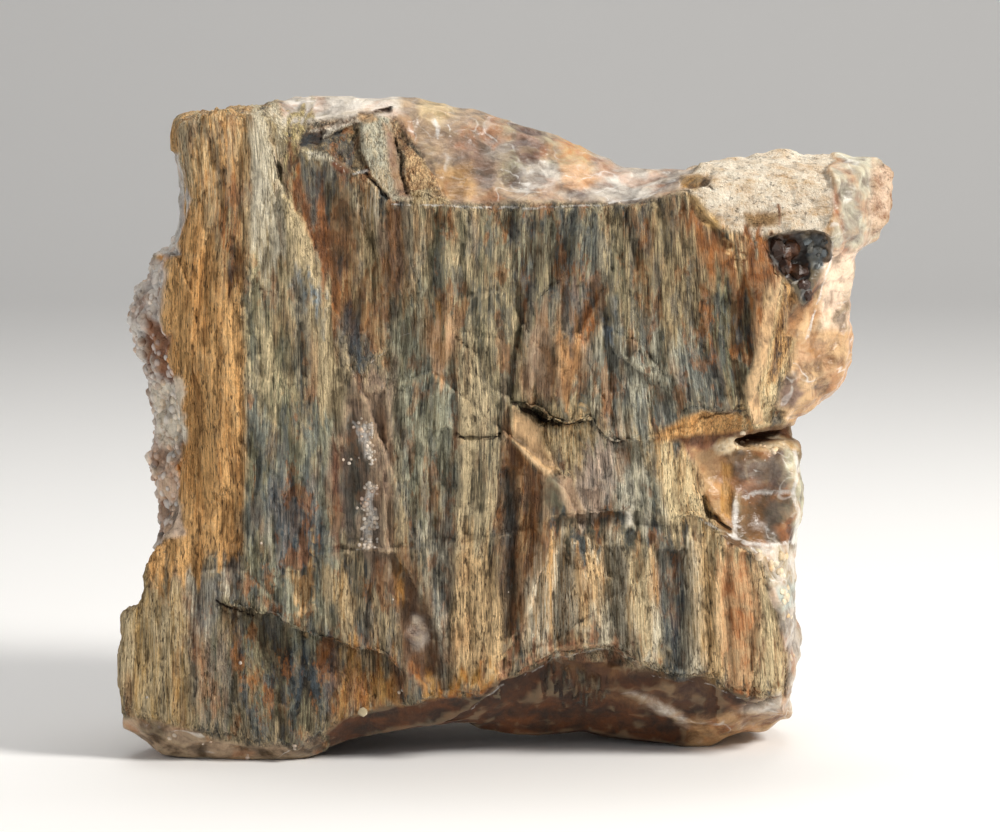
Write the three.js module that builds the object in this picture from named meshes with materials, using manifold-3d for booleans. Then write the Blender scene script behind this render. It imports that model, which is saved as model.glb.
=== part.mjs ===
// Petrified wood: one block of fossil log that stands on its own broken edge.
// The front is the wood, split along the grain. Agate fills the log behind it and shows in the
// hollow on top, on the right side and under the front edge. Chalcedony lumps line the left side.
// Millimetres, +X right, -Y front, +Z up. The block is drawn with its left foot near x = 0 and its
// front face near y = 0, and at the end it is moved so that the origin is under its middle.
import * as THREE from 'three';
import { mergeVertices } from 'three/addons/utils/BufferGeometryUtils.js';
import { ImprovedNoise } from 'three/addons/math/ImprovedNoise.js';
import Module from 'manifold-3d';

const wasm = await Module();
wasm.setup();

// Driving dimensions
const WIDTH = 259;
const DEPTH = 110;
const FOOT_CUT = 0.6; // how far the feet are worn flat, so that the stone rests on real faces
const ROUGHNESS = 0.9; // height of the small unevenness of every broken face
const GRID_ACROSS = 32; // cells of the block's surface
const GRID_UP = 28;
const DEPTH_LINES = [0, 5, 12, 20, 30, 42, 56, 72, 88, DEPTH];

// Outlines of the block at a few depths. An edge is a list of points [along, value]: the left and
// right edges give x for a height z, the bottom and top edges give z for a place x. Each outline is
// then scaled by grow about the middle of the block.
const MIDDLE = { x: 128, z: 118 };
const FRONT = {
  y: 0,
  grow: 0.99,
  left: [[18, 0], [33, 0], [41, 2], [49, 1], [54, 8], [63, 7], [74, 14], [86, 21], [110, 22], [134, 18],
    [160, 14], [168, 16], [171, 21], [191, 25], [198, 23], [211, 19], [218, 21]],
  right: [[22, 221], [30, 223], [56, 222], [63, 216], [110, 214], [118, 209], [132, 213], [152, 216],
    [165, 219], [178, 238], [195, 241]],
  bottom: [[0, 18], [28, 13], [41, 8], [61, 7], [71, 11], [76, 15], [94, 21], [118, 26], [128, 29],
    [148, 39], [163, 41], [174, 34], [181, 32], [196, 32], [206, 26], [220, 22]],
  top: [[20, 214], [28, 218], [41, 221], [54, 219], [57, 206], [74, 202], [83, 197], [89, 188],
    [104, 187], [161, 187], [169, 186], [174, 188], [181, 190], [186, 193], [194, 195], [241, 196]],
};
const SHOULDER = {
  y: 14,
  grow: 1.0,
  left: FRONT.left,
  right: [[14, 223], [30, 225], [56, 225], [63, 222], [110, 218], [123, 219], [145, 226], [152, 229],
    [165, 237], [178, 248], [195, 251]],
  bottom: [[0, 9], [8, 2], [14, -1], [36, -2], [42, -4], [54, -4], [63, -1], [72, 4], [94, 9],
    [118, 12], [132, 18], [163, 22], [174, 18], [196, 16], [220, 14]],
  top: [[20, 215], [30, 219], [41, 221], [54, 221], [57, 215], [88, 211], [100, 200], [161, 192], [174, 191],
    [194, 198], [232, 200], [251, 198]],
};
const WAIST = {
  y: 34,
  grow: 1.015,
  left: [[14, 3], [45, 4], [63, 9], [73, 15], [80, 16], [94, 12], [107, 14], [125, 14], [136, 6],
    [152, 5], [159, 9], [165, 16], [182, 22], [201, 19], [218, 22]],
  right: [[10, 226], [24, 226], [37, 229], [44, 228], [50, 225], [66, 227], [91, 230], [103, 227],
    [113, 225], [119, 240], [130, 249], [153, 245], [169, 247], [175, 256], [183, 261], [192, 261],
    [199, 257]],
  bottom: [[3, 12], [14, 6], [40, 4], [60, 5], [74, 10], [94, 11], [114, 13], [120, 8], [132, 4],
    [146, 4], [154, 6], [168, 2], [186, 0], [190, -2], [200, -2], [205, 3], [216, 6], [224, 12]],
  top: [[22, 214], [40, 215], [56, 219], [60, 222], [94, 222], [108, 221], [121, 218], [134, 214],
    [153, 205], [165, 199], [178, 198], [190, 197], [201, 200], [220, 203], [249, 203], [255, 200]],
};
const REAR = {
  y: 62,
  grow: 1.03,
  left: [[12, 8], [45, 8], [66, 12], [80, 14], [107, 13], [136, 9], [150, 12], [163, 19], [182, 25],
    [210, 29]],
  right: [[8, 222], [44, 225], [66, 224], [91, 225], [113, 224], [130, 238], [160, 238], [180, 245],
    [192, 240]],
  bottom: [[8, 14], [36, 8], [60, 9], [94, 16], [116, 15], [130, 9], [168, 6], [196, 5], [216, 9]],
  top: [[26, 206], [60, 214], [94, 214], [121, 208], [153, 197], [178, 190], [220, 193], [240, 188]],
};
const HEEL = {
  y: 88,
  grow: 1,
  left: [[14, 18], [90, 20], [140, 16], [180, 28], [200, 34]],
  right: [[14, 212], [60, 216], [110, 214], [150, 226], [176, 222]],
  bottom: [[18, 8], [34, -5], [62, -5], [78, 12], [150, 14], [170, -4], [198, -4], [212, 8]],
  top: [[34, 192], [70, 200], [94, 198], [140, 188], [212, 178]],
};
const BACK = {
  y: DEPTH,
  grow: 1,
  left: [[20, 24], [90, 26], [140, 24], [180, 38]],
  right: [[20, 204], [60, 208], [110, 206], [150, 214], [170, 206]],
  bottom: [[24, 14], [70, 16], [120, 24], [170, 14], [204, 20]],
  top: [[38, 178], [90, 186], [140, 172], [206, 164]],
};
const OUTLINES = [FRONT, SHOULDER, WAIST, REAR, HEEL, BACK];

// Chips broken out of the front, as facets that share edges. A corner is [x, z, depth of the floor].
const CHIPS = {
  lowerLeftLedge: [
    [[33, 57.5, 3.5], [42, 53, 9], [55, 48, 11], [50, 22, 4], [27, 32, 2.5]],
    [[55, 48, 11], [71.5, 42.5, 11], [75, 16, 3], [50, 22, 4]],
    [[71.5, 42.5, 11], [90, 37, 10], [95, 33, 8], [98, 21, 3], [75, 16, 3]],
  ],
  peachFace: [
    [[131.5, 121.5, 3], [139.5, 119.6, 9], [145, 115.4, 10], [149, 100, 6], [142, 101, 4.5], [132.5, 110, 4]],
    [[145, 115.4, 10], [150, 114.6, 9.5], [157.5, 117, 8.5], [160, 112.5, 9], [152, 86, 2.5], [149, 100, 6]],
    [[160, 112.5, 9], [168, 108, 8], [182, 111.5, 4], [176, 99, 3], [164, 90, 2.5], [152, 86, 2.5]],
  ],
  crevice: [
    [[132.8, 121.2, 4], [139.5, 119.6, 14], [145, 115.4, 15], [150, 114.6, 8], [145.5, 113, 9],
      [139, 115.4, 8]],
  ],
  slateStep: [
    [[142.5, 83, 3.5], [152, 84.5, 5.5], [169, 85, 6], [164, 64, 4], [144, 68, 2.5]],
    [[169, 85, 6], [187, 81, 6], [188, 62, 5], [164, 64, 4]],
  ],
  notch: [
    [[175, 108, 1.5], [179, 110.5, 2], [184, 115.5, 3], [190, 118, 3.5], [208.5, 120, 5], [211, 113.5, 17],
      [200, 111, 14], [187, 109.5, 8], [180, 108, 4]],
    [[175, 108, 1.5], [180, 108, 4], [187, 109.5, 8], [200, 111, 14], [200, 97, 20], [194, 84, 11],
      [179, 86, 3]],
    [[200, 111, 14], [211, 113.5, 17], [219, 116, 27], [238, 117, 34], [238, 90, 36], [200, 97, 20]],
    [[200, 97, 20], [238, 90, 36], [236, 70, 28], [218, 69, 10], [208.5, 74, 10], [200, 79, 13], [194, 84, 11]],
  ],
  slit: [
    [[204, 107, 26], [209, 109, 38], [220, 110.5, 48], [238, 112, 50], [238, 103, 50], [222, 103, 48],
      [211, 104.5, 38]],
  ],
  pocket: [
    [[215, 176, 7], [223.5, 179, 14], [226, 170, 15], [222, 161, 10], [216.5, 169, 7]],
    [[223.5, 179, 14], [236.5, 178, 19], [237, 168, 17], [230, 155, 9], [222, 161, 10], [226, 170, 15]],
  ],
  rimRecess: [
    [[127, 29.5, 2], [138, 34.5, 8], [148, 38.5, 10], [163, 41, 10], [164, 23, 15], [146, 21, 15],
      [134, 20, 12]],
    [[163, 41, 10], [174, 35, 9], [187, 31.5, 9], [197, 31.5, 8], [204, 26, 6], [203, 18, 13], [186, 21, 15],
      [164, 23, 15]],
  ],
  topFracture: [
    [[65, 206.5, 8], [75, 203, 9], [85.5, 201, 10], [82, 213.5, 18], [70, 213, 24]],
    [[85.5, 201, 10], [90.5, 188.7, 5], [98, 191.5, 9], [95.5, 210, 23], [92, 222, 30], [82, 213.5, 18]],
    [[98, 191.5, 9], [110, 189, 6], [104.5, 200, 17], [95.5, 210, 23]],
  ],
  underBlade: [[[62, 208, 12], [69, 206.5, 16], [70, 211, 22], [63, 212.5, 15]]],
  rindHollow: [[[186, 192, 5], [196.5, 193, 12], [197, 198, 16], [188, 199, 20]]],
};

// Flat breaks along the edges of the back and sides: a point of the break and the way it faces.
const BREAKS = [
  { at: [64, 96, 190], faces: [-0.25, 0.62, 0.75] },
  { at: [150, 92, 188], faces: [0.2, 0.55, 0.8] },
  { at: [24, 88, 120], faces: [-0.75, 0.64, -0.12] },
  { at: [18, 70, 40], faces: [-0.86, 0.46, -0.25] },
  { at: [208, 92, 60], faces: [0.72, 0.69, -0.06] },
  { at: [238, 80, 164], faces: [0.78, 0.58, 0.22] },
  { at: [110, 103, 24], faces: [0.05, 0.8, -0.6] },
];

// The chalcedony lumps on the left side stand in rows behind the wood's edge.
const LUMP_ROWS = [
  { y: 25, from: 84, to: 160, count: 12, radius: 5.6, inset: 5.4 },
  { y: 37, from: 80, to: 162, count: 11, radius: 6.6, inset: 5.6 },
  { y: 52, from: 84, to: 156, count: 9, radius: 7.6, inset: 6.4 },
];
const GOLDEN = 0.618; // steps of this size never repeat, so neighbouring lumps differ
const NOTCH_BLOCK = { x: 214, y: 43, z: 89, wide: 31, deep: 42, high: 34 };
const OUTSIDE = -40; // where the cutters of the chips begin, in front of the whole block

const perlin = new ImprovedNoise();

// Unevenness between about -1 and 1, with two octaves of the given wavelength.
function uneven(x, y, z, wavelength) {
  const coarse = perlin.noise(x / wavelength, y / wavelength + 7.3, z / wavelength + 3.1);
  const fine = perlin.noise(x / wavelength * 2.3 + 11, y / wavelength * 2.3, z / wavelength * 2.3);
  return coarse + 0.5 * fine;
}

// A soft step from 0 to 1 while value goes from one place to the other, in either direction.
function smooth(from, to, value) {
  const share = THREE.MathUtils.clamp((value - from) / (to - from), 0, 1);
  return share * share * (3 - 2 * share);
}

// Reads an edge list at one place, in straight lines between its points.
function along(edge, place) {
  let index = 1;
  while (index < edge.length - 1 && edge[index][0] < place) index += 1;
  const [a, b] = [edge[index - 1], edge[index]];
  const share = THREE.MathUtils.clamp((place - a[0]) / (b[0] - a[0]), 0, 1);
  return THREE.MathUtils.lerp(a[1], b[1], share);
}

// Reads the same edge after the outline's grow. Left and right move in x, bottom and top in z.
function grownEdge(outline, side, place) {
  const sideways = side === 'left' || side === 'right';
  const [placeMiddle, valueMiddle] = sideways ? [MIDDLE.z, MIDDLE.x] : [MIDDLE.x, MIDDLE.z];
  const value = along(outline[side], placeMiddle + (place - placeMiddle) / outline.grow);
  return valueMiddle + (value - valueMiddle) * outline.grow;
}

// The same at a depth between two outlines.
function edgeAt(side, place, depth) {
  let index = 1;
  while (index < OUTLINES.length - 1 && OUTLINES[index].y < depth) index += 1;
  const [near, far] = [OUTLINES[index - 1], OUTLINES[index]];
  const share = THREE.MathUtils.clamp((depth - near.y) / (far.y - near.y), 0, 1);
  return THREE.MathUtils.lerp(grownEdge(near, side, place), grownEdge(far, side, place), share);
}

// How far behind y = 0 the split face lies: the left column rounds back to its side, the lower
// right leans back, the rind on the knob rolls back to its top, a recess follows the reddish seam,
// and shallow flutes run with the grain.
function frontRelief(x, z) {
  const column = 9 * smooth(44, 8, x) ** 1.6 * smooth(60, 90, z);
  const lowerLeft = 5 * smooth(30, 0, x) * smooth(90, 60, z);
  const rightLean = 5 * smooth(150, 225, x) * smooth(150, 60, z);
  const rind = 12 * smooth(185, 240, x) * smooth(170, 196, z);
  const seam = 55 + (195 - z) * 0.38;
  const recess = 5.5 * smooth(seam, seam + 7, x) * smooth(seam + 40, seam + 14, x) * smooth(112, 150, z);
  const flutes = 1.6 * uneven(x, 0, z * 0.35, 34) + 0.8 * uneven(x + 50, 9, z * 0.2, 15);
  return 2.5 + column + lowerLeft + rightLean + rind + recess + flutes;
}

// The back is a rough broken face with low swells.
function backFace(x, z) {
  return DEPTH - 4 + 5 * uneven(x + 90, 40, z, 46);
}

// Moves one point of the unit box onto the block. Across, back and up run from 0 to 1.
function placeOnBlock(across, back, up) {
  const depth = DEPTH_LINES[Math.round(back * (DEPTH_LINES.length - 1))];
  let x = THREE.MathUtils.lerp(20, WIDTH - 30, across);
  let z = 0;
  for (let pass = 0; pass < 12; pass += 1) {
    z = THREE.MathUtils.lerp(edgeAt('bottom', x, depth), edgeAt('top', x, depth), up);
    x = THREE.MathUtils.lerp(edgeAt('left', z, depth), edgeAt('right', z, depth), across);
  }
  const near = frontRelief(x, z);
  const y = THREE.MathUtils.lerp(near, backFace(x, z), depth / DEPTH);
  return new THREE.Vector3(x, y, z);
}

// three.js geometry to a closed manifold solid, and back.
function toSolid(geometry) {
  geometry.deleteAttribute('normal');
  geometry.deleteAttribute('uv');
  const merged = mergeVertices(geometry, 1e-4);
  const mesh = new wasm.Mesh({
    numProp: 3,
    vertProperties: new Float32Array(merged.attributes.position.array),
    triVerts: new Uint32Array(merged.index.array),
  });
  return new wasm.Manifold(mesh);
}

function toGeometry(solid) {
  const mesh = solid.getMesh();
  const geometry = new THREE.BufferGeometry();
  geometry.setAttribute('position', new THREE.BufferAttribute(new Float32Array(mesh.vertProperties), 3));
  geometry.setIndex(Array.from(mesh.triVerts));
  return geometry;
}

// The whole block, before chips are broken off: a gridded box whose points are moved into place.
function blockSolid() {
  const cells = DEPTH_LINES.length - 1;
  const geometry = new THREE.BoxGeometry(1, 1, 1, GRID_ACROSS, cells, GRID_UP);
  const position = geometry.attributes.position;
  for (let index = 0; index < position.count; index += 1) {
    const [x, y, z] = [position.getX(index), position.getY(index), position.getZ(index)];
    const point = placeOnBlock(x + 0.5, y + 0.5, z + 0.5);
    const rough = ROUGHNESS * uneven(point.x, point.y, point.z, 11);
    position.setXYZ(index, point.x + rough, point.y - rough, point.z + rough * 0.6);
  }
  return toSolid(geometry);
}

// The cutter of one facet: its outline seen from the front, from well outside in to its floor.
function chipSolid(corners) {
  const outline = new THREE.Shape(corners.map(([x, z]) => new THREE.Vector2(x, z)));
  const geometry = new THREE.ExtrudeGeometry(outline, { depth: 1, bevelEnabled: false });
  const position = geometry.attributes.position;
  for (let index = 0; index < position.count; index += 1) {
    const [x, z, atFloor] = [position.getX(index), position.getY(index), position.getZ(index) < 0.5];
    const corner = corners.find((each) => Math.hypot(each[0] - x, each[1] - z) < 1e-3);
    position.setXYZ(index, x, atFloor ? corner[2] : OUTSIDE, z);
  }
  return toSolid(geometry);
}

// The chalcedony crust: a lump every few millimetres along each row, sizes taking turns.
function lumpSolids() {
  const lumps = [];
  for (const row of LUMP_ROWS) {
    for (let index = 0; index < row.count; index += 1) {
      const turn = (index * GOLDEN + row.y * 0.37) % 1;
      const z = THREE.MathUtils.lerp(row.from, row.to, index / (row.count - 1)) + 2 * turn;
      const y = row.y + 6 * (turn - 0.5);
      const radius = row.radius * (0.75 + 0.5 * turn);
      const lump = new THREE.IcosahedronGeometry(radius, 1);
      lump.rotateX(turn * 3);
      lump.rotateZ(turn * 5);
      lump.translate(edgeAt('left', z, y) + row.inset, y, z);
      lumps.push(toSolid(lump));
    }
  }
  return lumps;
}

// The brown agate block that fills the notch, set back behind the split face.
function notchBlockSolid() {
  const block = new THREE.BoxGeometry(NOTCH_BLOCK.wide, NOTCH_BLOCK.deep, NOTCH_BLOCK.high, 5, 4, 6);
  const position = block.attributes.position;
  const half = new THREE.Vector3(NOTCH_BLOCK.wide, NOTCH_BLOCK.deep, NOTCH_BLOCK.high).multiplyScalar(0.5);
  const point = new THREE.Vector3();
  for (let index = 0; index < position.count; index += 1) {
    point.fromBufferAttribute(position, index).divide(half);
    const roundness = Math.max(1, point.length() / 1.32);
    point.divideScalar(roundness).multiply(half);
    const rough = 1.1 * uneven(point.x + 31, point.y, point.z, 13);
    position.setXYZ(index, point.x + rough, point.y + rough, point.z);
  }
  block.translate(NOTCH_BLOCK.x, NOTCH_BLOCK.y, NOTCH_BLOCK.z);
  return toSolid(block);
}

// A thick plate that stands on a break and takes away what is outside it.
function breakSolid({ at, faces }) {
  const plate = new THREE.BoxGeometry(2 * WIDTH, 2 * WIDTH, DEPTH);
  plate.translate(0, 0, DEPTH / 2);
  const facing = new THREE.Vector3(...faces).normalize();
  plate.applyQuaternion(new THREE.Quaternion().setFromUnitVectors(new THREE.Vector3(0, 0, 1), facing));
  plate.translate(...at);
  return toSolid(plate);
}

// What lies below the feet's flats is worn away.
function groundSolid() {
  const ground = new THREE.BoxGeometry(2 * WIDTH, 4 * DEPTH, 40);
  ground.translate(MIDDLE.x, DEPTH / 2, FOOT_CUT - 20);
  return toSolid(ground);
}

function stoneSolid() {
  let solid = blockSolid();
  for (const facets of Object.values(CHIPS)) {
    const cutter = facets.map(chipSolid).reduce((joined, facet) => joined.add(facet));
    solid = solid.subtract(cutter);
  }
  for (const each of BREAKS) solid = solid.subtract(breakSolid(each));
  for (const lump of lumpSolids()) solid = solid.add(lump);
  return solid.add(notchBlockSolid()).subtract(groundSolid());
}

const geometry = toGeometry(stoneSolid());
geometry.computeBoundingBox();
const { min, max } = geometry.boundingBox;
const material = new THREE.MeshStandardMaterial({ color: 0x8a6a44, roughness: 0.75, metalness: 0 });
const stone = new THREE.Mesh(geometry, material);
stone.name = 'petrified_wood';
stone.position.set(-(min.x + max.x) / 2, -(min.y + max.y) / 2, -min.z);
const group = new THREE.Group();
group.add(stone);
export default group;
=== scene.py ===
# %% [markdown]
# Petrified wood.
#
# The object is a block of fossil log, about 26 cm wide and 22 cm high. Its front is the wood itself,
# split along the grain. Behind it the log is filled with agate, which shows in a hollow on top, on the
# right side and under the front edge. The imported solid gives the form. This script gives the fine
# relief and the stone's colours.

# %% Load the frame
import math

import bpy
import numpy as np
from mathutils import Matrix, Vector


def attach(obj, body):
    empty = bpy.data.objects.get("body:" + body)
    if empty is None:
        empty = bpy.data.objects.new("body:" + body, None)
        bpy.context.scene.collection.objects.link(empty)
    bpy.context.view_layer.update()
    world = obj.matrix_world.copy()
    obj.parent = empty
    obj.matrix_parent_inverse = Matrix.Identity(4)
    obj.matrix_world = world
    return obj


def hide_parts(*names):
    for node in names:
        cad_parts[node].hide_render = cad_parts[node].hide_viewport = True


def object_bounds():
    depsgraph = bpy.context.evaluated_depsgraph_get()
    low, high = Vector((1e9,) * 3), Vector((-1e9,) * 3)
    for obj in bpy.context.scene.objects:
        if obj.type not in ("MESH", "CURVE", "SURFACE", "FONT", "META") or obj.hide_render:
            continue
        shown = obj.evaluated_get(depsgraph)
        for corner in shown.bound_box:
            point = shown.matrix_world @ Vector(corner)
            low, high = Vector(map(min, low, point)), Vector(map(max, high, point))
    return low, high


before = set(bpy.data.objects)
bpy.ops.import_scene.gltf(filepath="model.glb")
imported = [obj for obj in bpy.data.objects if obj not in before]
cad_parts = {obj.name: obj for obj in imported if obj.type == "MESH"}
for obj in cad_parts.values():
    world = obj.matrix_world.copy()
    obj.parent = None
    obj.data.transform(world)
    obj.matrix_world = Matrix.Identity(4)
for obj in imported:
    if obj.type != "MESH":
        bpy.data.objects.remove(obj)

cad_box = [[float(value) for value in corner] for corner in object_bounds()]
print("CAD box in metres:", cad_box)

# %% [markdown]
# Relief and marks are easier to place in millimetres, counted from the block's own left foot and from
# its split face. These two helpers go from metres in the frame to those millimetres and back.

# %% Millimetres on the block
MM = 0.001
BLOCK_ORIGIN_MM = np.array([130.0, 54.9, 0.6])


def to_block(metres):
    """Frame metres to block millimetres."""
    return np.asarray(metres) / MM + BLOCK_ORIGIN_MM


def to_frame(block_mm):
    """Block millimetres to frame metres."""
    return (np.asarray(block_mm) - BLOCK_ORIGIN_MM) * MM


print("block reaches", to_block(cad_box[0]).round(1), "to", to_block(cad_box[1]).round(1))

# %% [markdown]
# The camera.
#
# The photograph was taken from a little above the middle of the stone with a long lens, so that its
# sides barely converge. The camera comes first, because the marks on the stone are placed by where
# they are seen from it.

# %% Camera
CAMERA_DISTANCE_MM = 1300.0
CAMERA_ELEVATION = math.radians(7.0)
CAMERA_TARGET_MM = np.array([127.7, 0.0, 118.3])
PHOTO_SIZE = (1000, 832)
SENSOR_MM = 36.0
PIXELS_PER_MM_AT_TARGET = 3.04

view_ahead = np.array([0.0, math.cos(CAMERA_ELEVATION), -math.sin(CAMERA_ELEVATION)])
view_up = np.array([0.0, math.sin(CAMERA_ELEVATION), math.cos(CAMERA_ELEVATION)])
camera_mm = CAMERA_TARGET_MM - CAMERA_DISTANCE_MM * view_ahead
focal_pixels = PIXELS_PER_MM_AT_TARGET * CAMERA_DISTANCE_MM

bpy.ops.object.camera_add(
    location=to_frame(camera_mm), rotation=(math.radians(90.0) - CAMERA_ELEVATION, 0.0, 0.0)
)
camera = bpy.context.object
camera.data.sensor_width = SENSOR_MM
camera.data.lens = focal_pixels / PHOTO_SIZE[0] * SENSOR_MM
camera.data.clip_start = 0.05
bpy.context.scene.camera = camera


def photo_pixels(block_mm):
    """Where points of the block are seen in the photograph's 1000 x 832 frame: columns and rows."""
    sight = block_mm - camera_mm
    depth = sight @ view_ahead
    column = PHOTO_SIZE[0] / 2 + focal_pixels * sight[:, 0] / depth
    row = PHOTO_SIZE[1] / 2 - focal_pixels * (sight @ view_up) / depth
    return column, row


print("lens", round(camera.data.lens, 1), "mm, camera at", to_frame(camera_mm).round(3))

# %% [markdown]
# Noise to work with.
#
# Broken stone is irregular at every size, so the relief and the colours need noise that can be
# stretched along the grain. Value noise gives soft unevenness. Cell noise gives the distance to the
# nearest of many scattered points: squared, it is a shallow dish around each of them with sharp
# ridges between, which is how agate chips, and turned over it gives the bumps of a chalcedony crust.


# %% Noise helpers
def lattice(cells, seed):
    """A number from 0 to 1 for each whole-number cell, always the same for the same seed."""
    mixed = cells[..., 0] * 73856093 ^ cells[..., 1] * 19349663 ^ cells[..., 2] * 83492791
    mixed = (mixed ^ (seed * 2654435761)) & 0x7FFFFFFF
    mixed = (mixed * 1103515245 + 12345) & 0x7FFFFFFF
    mixed = ((mixed >> 13) ^ mixed) * 60493 & 0x7FFFFFFF
    return mixed / 0x7FFFFFFF


def value_noise(points, seed):
    """Soft noise from -1 to 1 with a wavelength of 1."""
    base = np.floor(points).astype(np.int64)
    part = points - base
    part = part * part * (3.0 - 2.0 * part)
    total = np.zeros(len(points))
    for corner in range(8):
        offset = np.array([corner & 1, (corner >> 1) & 1, corner >> 2])
        share = np.prod(np.where(offset == 1, part, 1.0 - part), axis=1)
        total += share * lattice(base + offset, seed)
    return 2.0 * total - 1.0


def layered(points, size, seed, layers=3, rough=0.5):
    """Value noise in several layers. Size is the wavelength in mm, one number or one per axis."""
    total = np.zeros(len(points))
    scaled = points / np.asarray(size)
    for layer in range(layers):
        total += rough**layer * value_noise(scaled * 2.03**layer + 17.0 * layer, seed + layer)
    return total


def dishes(points, size, seed):
    """Squared distance to the nearest scattered point, from 0 at its middle to about 1."""
    scaled = points / np.asarray(size)
    base = np.floor(scaled).astype(np.int64)
    nearest = np.full(len(points), 9.0)
    for step in np.ndindex(3, 3, 3):
        cell = base + np.array(step) - 1
        scattered = np.stack([lattice(cell, seed + axis) for axis in range(3)], axis=1)
        away = ((cell + scattered - scaled) ** 2).sum(axis=1)
        nearest = np.minimum(nearest, away)
    return nearest


def soft_step(start, end, value):
    """0 before start, 1 after end, a smooth rise between. Start may be the larger one."""
    share = np.clip((value - start) / (end - start), 0.0, 1.0)
    return share * share * (3.0 - 2.0 * share)


print("noise check", value_noise(np.array([[0.3, 0.2, 0.9]]), 1).round(3))

# %% [markdown]
# Lines and patches seen from the front.
#
# The place of every ledge, crack and patch was read off the photograph as a few pixel
# positions. A patch is an outline, and a line is a string of points. Both are given a soft edge here,
# so that nothing on the stone ends like cut paper.


# %% Patch and line helpers
def near_line(column, row, line):
    """Distance in pixels to a string of points, and which side: positive is right of its direction."""
    best = np.full(len(column), 1e9)
    side = np.ones(len(column))
    for (x0, y0), (x1, y1) in zip(line[:-1], line[1:]):
        dx, dy = x1 - x0, y1 - y0
        share = ((column - x0) * dx + (row - y0) * dy) / (dx * dx + dy * dy)
        held = np.clip(share, 0.0, 1.0)
        away = np.hypot(column - x0 - held * dx, row - y0 - held * dy)
        closer = away < best
        best = np.where(closer, away, best)
        turn = dx * (row - y0) - dy * (column - x0)
        side = np.where(closer, np.sign(turn), side)
    return best, side


def inside_patch(column, row, outline, soft):
    """1 inside an outline, 0 outside, with a soft edge that many pixels wide."""
    closed = outline + outline[:1]
    amount = np.zeros(len(column))
    xs, ys = zip(*outline)
    near = (column > min(xs) - soft) & (column < max(xs) + soft)
    near &= (row > min(ys) - soft) & (row < max(ys) + soft)
    if not near.any():
        return amount
    x, y = column[near], row[near]
    away, _ = near_line(x, y, closed)
    within = np.zeros(len(x), dtype=bool)
    for (x0, y0), (x1, y1) in zip(closed[:-1], closed[1:]):
        crosses = (y0 > y) != (y1 > y)
        slope = (x1 - x0) / (y1 - y0) if y1 != y0 else 0.0
        within ^= crosses & (x < x0 + (y - y0) * slope)
    signed = np.where(within, away, -away)
    amount[near] = soft_step(-0.5 * soft, 0.5 * soft, signed)
    return amount


print("halfway up a soft edge:", soft_step(0.0, 1.0, 0.5))

# %% [markdown]
# The palette.
#
# Whoever paints a stone mixes the colours first. These stains are a list, given family by family:
# creams and tans, straws, moss tones, slates, rusts, browns, darks, and the milky and the rosy tones
# of the agate. Further down, each place on the stone names the two that suit it, as matched against
# the photograph.

# %% Stains
STAINS = {
    "chalk": "#f3ead8", "bone": "#eae0c6", "cream": "#ecd6a8", "butter": "#e8c592", "honey": "#ebb878",
    "apricot": "#eab06a", "pale tan": "#d6b184", "tan": "#c09a6c", "golden tan": "#d79a58",
    "ochre": "#b8823f", "gold brown": "#bd9152", "old gold": "#cca566", "tawny": "#b4853f",
    "straw": "#d8c39a", "sand": "#cab38c", "buff": "#ceba84", "dry straw": "#c0ab82",
    "hay": "#a8926a", "dun": "#93805c", "toffee": "#8a6b38",
    "ash": "#cac6b0", "pale lichen": "#c0bfa6", "lichen": "#a6a288", "sage": "#928f70",
    "olive": "#7f7a5f", "moss": "#686450", "dark moss": "#524f41", "deep moss": "#403c30",
    "silver": "#b6bcb2", "pale slate": "#a9bccb", "blue slate": "#8b9da8", "slate": "#919ba0",
    "dark slate": "#56636a", "night slate": "#444a4f", "lead": "#6a6a62",
    "hot orange": "#f2a449", "orange": "#e39a52", "orange rust": "#cc7f42", "rust": "#a8682f",
    "copper": "#b5713c", "fire rust": "#c06a28", "old rust": "#96602f", "deep rust": "#83522a",
    "dark rust": "#5c3417", "burnt rust": "#4a2811", "red brown": "#6a2e10",
    "fawn": "#b49a7e", "camel": "#a3774c", "wood brown": "#8d6c48", "taupe": "#8a7060",
    "coffee": "#7d5a38", "umber": "#75583c", "drab": "#66553f", "bark": "#62492c",
    "chestnut": "#6e4627", "cocoa": "#573723", "dark bark": "#4d3a22",
    "peat": "#36271a", "pitch": "#2a1d14", "soot": "#170f0b", "black": "#0b0a0a",
    "snow": "#e6e2dc", "milk": "#d4ccc0", "pearl": "#bfb4a6", "smoke": "#a3978a", "dusk": "#867a6e",
    "dark smoke": "#6c5e52", "clove": "#553f35", "plum": "#3f2a22",
    "shell": "#ecd0b6", "peach": "#d4ad88", "ripe peach": "#d2a06a", "salmon": "#bf8d68",
    "rosy brown": "#9c7258", "cinnamon": "#83553a",
}


def colour(name):
    """A stain's colour as Blender works with it: three linear numbers."""
    code = STAINS[name]
    screen = np.array([int(code[place : place + 2], 16) for place in (1, 3, 5)]) / 255.0
    return np.where(screen <= 0.04045, screen / 12.92, ((screen + 0.055) / 1.055) ** 2.4)


print(len(STAINS), "stains, tan in linear numbers:", colour("tan").round(3))

# %% [markdown]
# What each place on the stone is made of.
#
# Eleven substances are enough, and each has its own way of catching the light. **Wood** has the fine
# upright grain with dark slits where cells were lost. **Streaked wood** and **soft wood** have fewer
# slits, and **jasper** is rusty, dense and nearly smooth. A **wood facet** is wood that broke along a
# straight edge, and a **fresh chip** shows hardly any grain. **Agate** is glassy and cloudy, an **agate
# facet** has straight edges, and **dark glass** is the dull agate under the arch. **Crust** is the lumpy
# chalcedony of the left side, and **rind** the chalky, gritty skin of the knob. A patch says what lies
# there, its light and dark stain, and how much of the dark one shows.

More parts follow.
